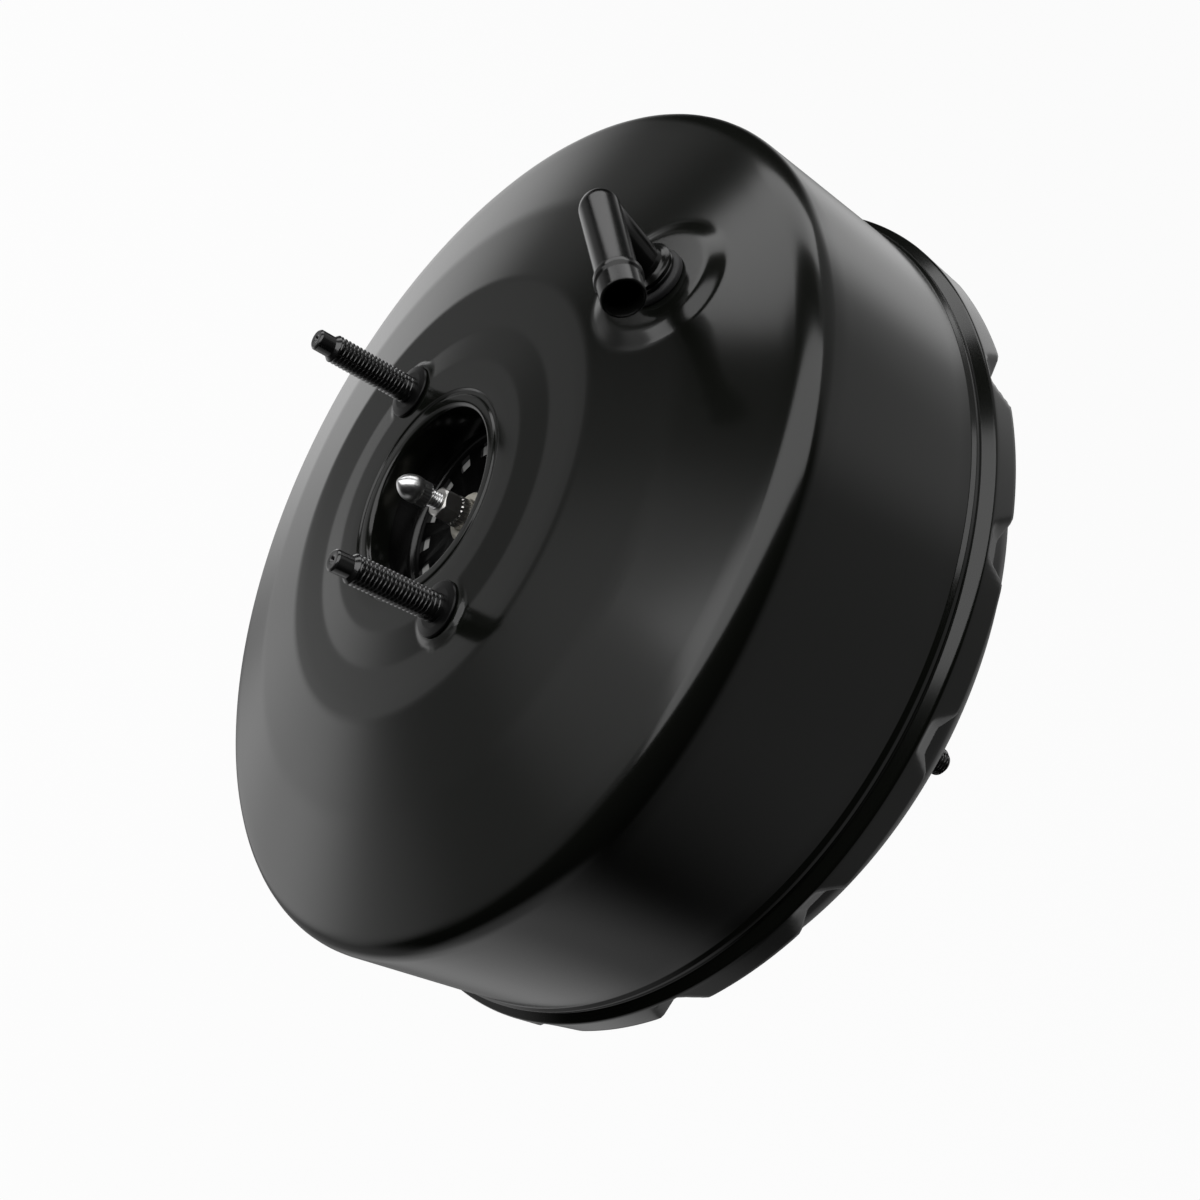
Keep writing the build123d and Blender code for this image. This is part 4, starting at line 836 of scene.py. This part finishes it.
class BOOSTER_OT_check_valve(bpy.types.Operator):
    """Build the check valve's base, elbow and grommet"""

    bl_idname = "booster.check_valve"
    bl_label = "Check Valve"

    def execute(self, context):
        v, shell = context.scene.booster_valve, context.scene.booster_shell
        nylon = material("Valve Nylon")
        normal = Vector((0, -cos(v.tilt), sin(v.tilt)))
        side = Vector((1, 0, 0))
        across = side.cross(normal)
        foot = Vector((0, v.drop - shell.depth, v.place))
        place = Matrix.Translation(foot) @ Matrix((side, normal, across)).transposed().to_4x4()
        height, reach = v.height / MM, v.reach / MM
        r, bore = v.nozzle_radius / MM, v.bore_radius / MM
        rubber = turned("grommet_moulded", rounded([
            (4.65, -4.6, 0), (7.4, -5.4, 1.0), (8.3, -4.0, 0.8), (8.2, -0.6, 0.4), (6.98, -0.4, 0.2),
            (6.98, 1.42, 0.2), (8.4, 1.42, 0.5), (8.2, 3.0, 0.9), (7.0, 3.8, 0.8), (4.65, 3.8, 0),
        ], 0.35), material("Boot Rubber"), 96, place)
        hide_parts("grommet")
        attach(rubber, "housing")
        base = turned("check_valve_foot", rounded([
            (2.4, -8.5, 0), (3.8, -8.5, 0.3), (5.4, -5.9, 0.3), (4.6, -5.8, 0.2), (4.6, 3.82, 0),
            (6.9, 3.82, 0.3), (7.3, 4.3, 0.3), (7.3, 4.9, 0.25), (6.6, 5.12, 0), (2.4, 5.12, 0),
        ], 0.4), nylon, 96, place)
        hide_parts("check_valve_base")
        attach(base, "check_valve")

        stem_r, stem_rows = 5.08, (15.0, 19.0, 20.0)

        def saddle(radius, h, angle):
            """Takes the stem's top rows up into the nozzle's round side."""
            x, z = radius * cos(angle), radius * sin(angle)
            if h >= stem_rows[1]:
                h = height - sqrt(max(r * r - z * z, 0)) + (0.35 if h >= stem_rows[2] else -0.6)
            return x, h, z

        stem = turned("elbow_stem", rounded([
            (3.0, 5.14, 0), (6.6, 5.14, 0.2), (7.3, 5.5, 0.3), (7.3, 6.2, 0.25), (6.4, 6.5, 0.3),
            (5.6, 6.9, 0.5), (5.12, 8.2, 1.0), (stem_r, stem_rows[0], 0),
        ], 0.35) + [(stem_r, stem_rows[1]), (stem_r - 0.02, stem_rows[2])],
            None, 96, place, shape=saddle, opened=True, sharp=50)
        bead, lip = 5.8, 5.3
        dome = [(r * sin(k * pi / 32), -1.3 - r * cos(k * pi / 32)) for k in range(17)]
        nozzle_line = dome + rounded([
            (r, -1.0, 0), (r, reach - 8.3, 0.3), (5.45, reach - 8.0, 0.3), (bead, reach - 7.6, 0.4),
            (bead, reach - 6.1, 0.4), (lip, reach - 5.5, 0.3), (lip, reach - 0.3, 0.25),
            (lip - 0.25, reach, 0.12), (bore + 0.62, reach, 0.12), (bore, reach - 1.6, 0.4),
            (bore, 0.5, 0), (0, 0.4, 0),
        ], 0.3)
        turn = Matrix.Translation((0, v.height, 0)) @ Matrix.Rotation(-pi / 2, 4, "Z")
        nozzle = turned("elbow_nozzle", nozzle_line, None, 96, place @ turn)
        elbow = joined("check_valve_elbow_moulded", [stem, nozzle], nylon)
        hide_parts("check_valve_elbow")
        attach(elbow, "check_valve")
        return {"FINISHED"}


class BOOSTER_OT_stroke(bpy.types.Operator):
    """Give the springs meshes of their own and put a copy of the diaphragm in its place"""

    bl_idname = "booster.stroke"
    bl_label = "Springs and Diaphragm"

    def execute(self, context):
        for spring, joint in (("return_spring", "piston_slide"), ("rod_spring", "plunger_slide")):
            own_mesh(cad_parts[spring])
        rolled = placed("diaphragm_rolled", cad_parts["diaphragm"].data.copy())
        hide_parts("diaphragm")
        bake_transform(rolled)
        return {"FINISHED"}


class BOOSTER_OT_dust_boot(bpy.types.Operator):
    """Build the folded dust boot round the neck"""

    bl_idname = "booster.dust_boot"
    bl_label = "Dust Boot"

    def execute(self, context):
        wall, folds, pitch, neck, root, crest = 1.5, 3, 12.0, 30.3, 31.6, 37.0
        first, end, mouth = 28.0, 65.8, 5.4
        line = [(neck, 22.0, 0), (32.3, 22.0, 0.8), (32.3, 24.4, 0.6), (root, 24.9, 0.3), (root, 27.4, 0)]
        for i in range(folds):
            line += [(root, first + pitch * i, 1.6), (crest, first + pitch * (i + 0.5), 1.5)]
        line += [(30.5, end - 3.3, 2.0), (27.0, end, 2.5), (9.6, end, 1.0), (8.4, end + 0.8, 0.6),
                 (mouth, end + 0.8, 0.4), (mouth, end - 1.4, 0), (26.0, end - wall, 1.5), (29.2, 61.8, 1.5)]
        for i in reversed(range(folds)):
            line += [(crest - wall * 1.25, first + pitch * (i + 0.5), 1.0),
                     (root - wall * 0.85, first + pitch * i, 1.0)]
        line += [(neck, 27.0, 0)]
        piece = turned("dust_boot_moulded", rounded(line, 0.3), material("Boot Rubber"), 192, sharp=60)
        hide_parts("dust_boot")
        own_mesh(piece)
        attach(piece, "housing")
        return {"FINISHED"}


class BOOSTER_OT_input_rod(bpy.types.Operator):
    """Build the threaded input rod and its lock nut"""

    bl_idname = "booster.input_rod"
    bl_label = "Input Rod"

    def execute(self, context):
        ball, ball_r, neck, shank, collar, thread_r = 2.5, 4.9, 3.2, 4.2, 10.0, 5.0
        tip, start, pitch = 112.0, 80.5, 1.5
        line = [(ball_r * sin(k * pi / 20), ball - ball_r * cos(k * pi / 20)) for k in range(15)]
        line[0] = (0, ball - ball_r)
        line += rounded([
            (neck, 7.4, 0), (neck, 13.8, 0.6), (shank, 17.0, 0.6), (shank, 47.0, 0), (collar, 47.0, 0.3),
            (collar, 49.0, 0.3), (shank, 49.0, 0), (shank, 79.0, 0.4), (thread_r, 80.0, 0.3),
            (thread_r, start, 0),
        ], 0.4)
        h = start
        while h < tip - 1.2:
            h += pitch / 9
            line.append((thread_r, h))
        line += [(thread_r - 1.0, tip), (0, tip)]

        thread = thread_shape(thread_r, pitch, start, tip - 0.6)
        rod = turned("input_rod_threaded", line, material("Stud Phosphate"), 56, cut=thread, sharp=50)
        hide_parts("input_rod")
        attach(rod, "input_rod")
        low, high = (corner[1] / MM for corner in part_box("lock_nut"))

        half_flats, chamfer, bore, face = 8.0, 1.73, 5.05, 5.7

        def chamfered(r, h, angle):
            side = angle % (pi / 3) - pi / 6
            limit = half_flats + min(h - low, high - h) * chamfer
            return min(half_flats / cos(side), limit) if r > face else r

        shares = (0, 0.04, 0.08, 0.12, 0.16, 0.2, 0.8, 0.84, 0.88, 0.92, 0.96, 1)
        line = [(bore, low + 0.6), (face, low)] + [(9.0, low + (high - low) * t) for t in shares]
        line += [(face, high), (bore, high - 0.6)]
        nut = turned("lock_nut_plated", line, material("Zinc Plate"), 96, cut=chamfered, sharp=28)
        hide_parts("lock_nut")
        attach(nut, "input_rod")
        return {"FINISHED"}


# ---- studio
# patches of light round the object: degrees across and up from the way to the camera,
# degrees of the full middle and of the outer edge, strength
STUDIO_PATCHES = (
    (-90, 20, 20, 44, 0.20),
    (-130, 10, 2, 24, 0.60),
    (-110, -20, 2, 22, 0.25),
    (-80, 120, 2, 24, 0.72),
    (-70, 30, 2, 20, 0.40),
    (90, 100, 2, 24, 0.70),
    (70, 64, 24, 40, 0.28),
    (95, -30, 26, 56, 0.24),
    (-20, -100, 8, 30, 0.36),
    (-40, -130, 2, 24, 0.36),
)
STUDIO_REAR = (64, 78, 0.20)
STUDIO_FLAG = (13, 120, 15, 31, 0.96)


def aim(eye, across, up):
    """Direction that lies these many degrees across and up from the way to the camera."""
    angle, way = radians(hypot(across, up)), atan2(up, across)
    return eye @ Vector((sin(angle) * cos(way), sin(angle) * sin(way), cos(angle)))


def backdrop_group(eye):
    """Shared studio backdrop: a direction becomes the level of light that stands in it."""
    group, source, out = new_tree(
        "Studio Backdrop", "ShaderNodeTree", {"Direction": "Vector"}, {"Level": "Float"}
    )

    def patch(centre, full, none):
        """1 within full degrees of a direction, and 0 beyond none."""
        dot = group.nodes.new("ShaderNodeVectorMath")
        dot.operation = "DOT_PRODUCT"
        dot.inputs[1].default_value = centre
        group.links.new(source["Direction"], dot.inputs[0])
        return mapped(group, dot.outputs["Value"], cos(radians(none)), cos(radians(full)), "SMOOTHSTEP")

    full, none, strength = STUDIO_REAR
    level = maths(group, "MULTIPLY", patch(-eye.col[2], full, none), strength)
    for across, up, full, none, strength in STUDIO_PATCHES:
        lit = patch(aim(eye, across, up), full, none)
        level = maths(group, "MULTIPLY_ADD", lit, strength, level)
    across, up, full, none, strength = STUDIO_FLAG
    shade = maths(group, "MULTIPLY_ADD", patch(aim(eye, across, up), full, none), -strength, 1.0)
    group.links.new(maths(group, "MULTIPLY", level, shade), out["Level"])


class BOOSTER_OT_stage(bpy.types.Operator):
    """Set up the floor, lamps, world and camera"""

    bl_idname = "booster.stage"
    bl_label = "Stage"

    def execute(self, context):
        scene = context.scene
        eye = Matrix(((0.1434, -0.7803, 0.6088), (0.7433, -0.3212, -0.5868), (0.6534, 0.5367, 0.5339)))
        backdrop_group(eye)
        near, along, drop = Vector((0.72, -0.694, 0)), Vector((0.694, 0.72, 0)), Vector((0, 0, -0.45))
        edge, far = 0.14, 60.0
        floor = bpy.data.meshes.new("floor")
        places = ((edge, -far), (edge, far), (-far, far), (-far, -far))
        floor.from_pydata([near * a + along * b + drop for a, b in places], [], [(0, 1, 2, 3)])
        ground = placed("floor", floor)
        pale = bpy.data.materials.new("Pale Floor")
        pale.use_nodes = True
        tree = pale.node_tree
        add, link = tree.nodes.new, tree.links.new
        paint = {"Base Color": (0.82, 0.82, 0.82, 1), "Roughness": 0.8}
        cover = filled(tree.nodes["Principled BSDF"], paint)
        path, sight = add("ShaderNodeLightPath").outputs, add("ShaderNodeNewGeometry")
        white, mix, away = add("ShaderNodeEmission"), add("ShaderNodeMixShader"), add("ShaderNodeVectorMath")
        away.operation = "SCALE"
        away.inputs["Scale"].default_value = -1.0
        backdrop = shared(tree, "Studio Backdrop")
        link(sight.outputs["Incoming"], away.inputs[0])
        link(away.outputs[0], backdrop.inputs["Direction"])
        shown = 0.96
        seen = maths(tree, "MULTIPLY", path["Is Camera Ray"], shown)
        mirrored = maths(tree, "MAXIMUM", path["Is Glossy Ray"], path["Is Transmission Ray"])
        strength = maths(tree, "MAXIMUM", path["Is Camera Ray"], backdrop.outputs["Level"])
        link(strength, white.inputs["Strength"])
        link(maths(tree, "MAXIMUM", seen, mirrored), mix.inputs["Fac"])
        link(cover.outputs[0], mix.inputs[1])
        link(white.outputs[0], mix.inputs[2])
        link(mix.outputs[0], tree.nodes["Material Output"].inputs["Surface"])
        floor.materials.append(pale)

        world = bpy.data.worlds.new("Studio")
        scene.world = world
        world.use_nodes = True
        tree = world.node_tree
        add, link = tree.nodes.new, tree.links.new
        place, path = add("ShaderNodeTexCoord"), add("ShaderNodeLightPath").outputs
        backdrop = shared(tree, "Studio Backdrop")
        link(place.outputs["Generated"], backdrop.inputs["Direction"])
        fill = 0.7
        mirrored = maths(tree, "MAXIMUM", path["Is Glossy Ray"], path["Is Transmission Ray"])
        share = maths(tree, "MULTIPLY_ADD", mirrored, 1.0 - fill, fill)
        lit = maths(tree, "MULTIPLY", backdrop.outputs["Level"], share)
        back = tree.nodes["Background"]
        back.inputs["Color"].default_value = (1, 1, 1, 1)
        link(maths(tree, "MAXIMUM", path["Is Camera Ray"], lit), back.inputs["Strength"])

        target = Vector((0, -0.08, 0))
        distance = 1.6
        lamps = {
            "front_box": (-11, 35.5, 11, (3.7, 1.27), 1.9),
            "top_box": (-6, 88.5, 17, (2.0, 0.56), 1.9),
        }
        for name, (across, up, roll, size, level) in lamps.items():
            spoke = aim(eye, across, up)
            side = eye @ Vector((cos(radians(roll)), sin(radians(roll)), 0))
            side = (side - spoke * side.dot(spoke)).normalized()
            turn = Matrix((side, spoke.cross(side), spoke)).transposed()
            light = bpy.data.lights.new(name, "AREA")
            light.shape = "RECTANGLE"
            light.size, light.size_y = size
            light.energy = level * pi * size[0] * size[1]
            placed(name, light).matrix_world = Matrix.Translation(target + spoke * distance) @ turn.to_4x4()

        lens = bpy.data.cameras.new("camera")
        lens.sensor_width = 36.0
        lens.lens = 47.30
        lens.shift_x, lens.shift_y = 0.0228, 0.1219
        lens.clip_start = 0.01
        camera = placed("camera", lens)
        camera.matrix_world = Matrix.Translation((0.31944, -0.31819, 0.21794)) @ eye.to_4x4()
        scene.camera = camera
        scene.view_settings.view_transform = "Standard"
        return {"FINISHED"}


OPERATORS = (
    BOOSTER_OT_finishes,
    BOOSTER_OT_stroke,
    BOOSTER_OT_front_shell,
    BOOSTER_OT_rear_shell,
    BOOSTER_OT_studs,
    BOOSTER_OT_rod_guide,
    BOOSTER_OT_output_rod,
    BOOSTER_OT_check_valve,
    BOOSTER_OT_dust_boot,
    BOOSTER_OT_input_rod,
    BOOSTER_OT_stage,
)


class BOOSTER_PT_panel(bpy.types.Panel):
    """Builders and sizes of the brake booster"""

    bl_idname = "BOOSTER_PT_panel"
    bl_label = "Brake Booster"
    bl_space_type = "VIEW_3D"
    bl_region_type = "UI"
    bl_category = "Booster"

    def draw(self, context):
        for operator in OPERATORS:
            self.layout.operator(operator.bl_idname)
        for group, kind in GROUPS.items():
            box = self.layout.box()
            box.label(text=kind.__doc__.strip("."))
            for name in kind.__annotations__:
                box.prop(getattr(context.scene, group), name)


CLASSES = (*GROUPS.values(), *OPERATORS, BOOSTER_PT_panel)


def register():
    for kind in CLASSES:
        bpy.utils.register_class(kind)
    for group, kind in GROUPS.items():
        setattr(bpy.types.Scene, group, PointerProperty(type=kind))


def unregister():
    for group in GROUPS:
        delattr(bpy.types.Scene, group)
    for kind in reversed(CLASSES):
        bpy.utils.unregister_class(kind)


def main():
    register()
    for operator in OPERATORS:
        getattr(bpy.ops.booster, operator.bl_idname.partition(".")[2])()


if __name__ == "__main__":
    main()
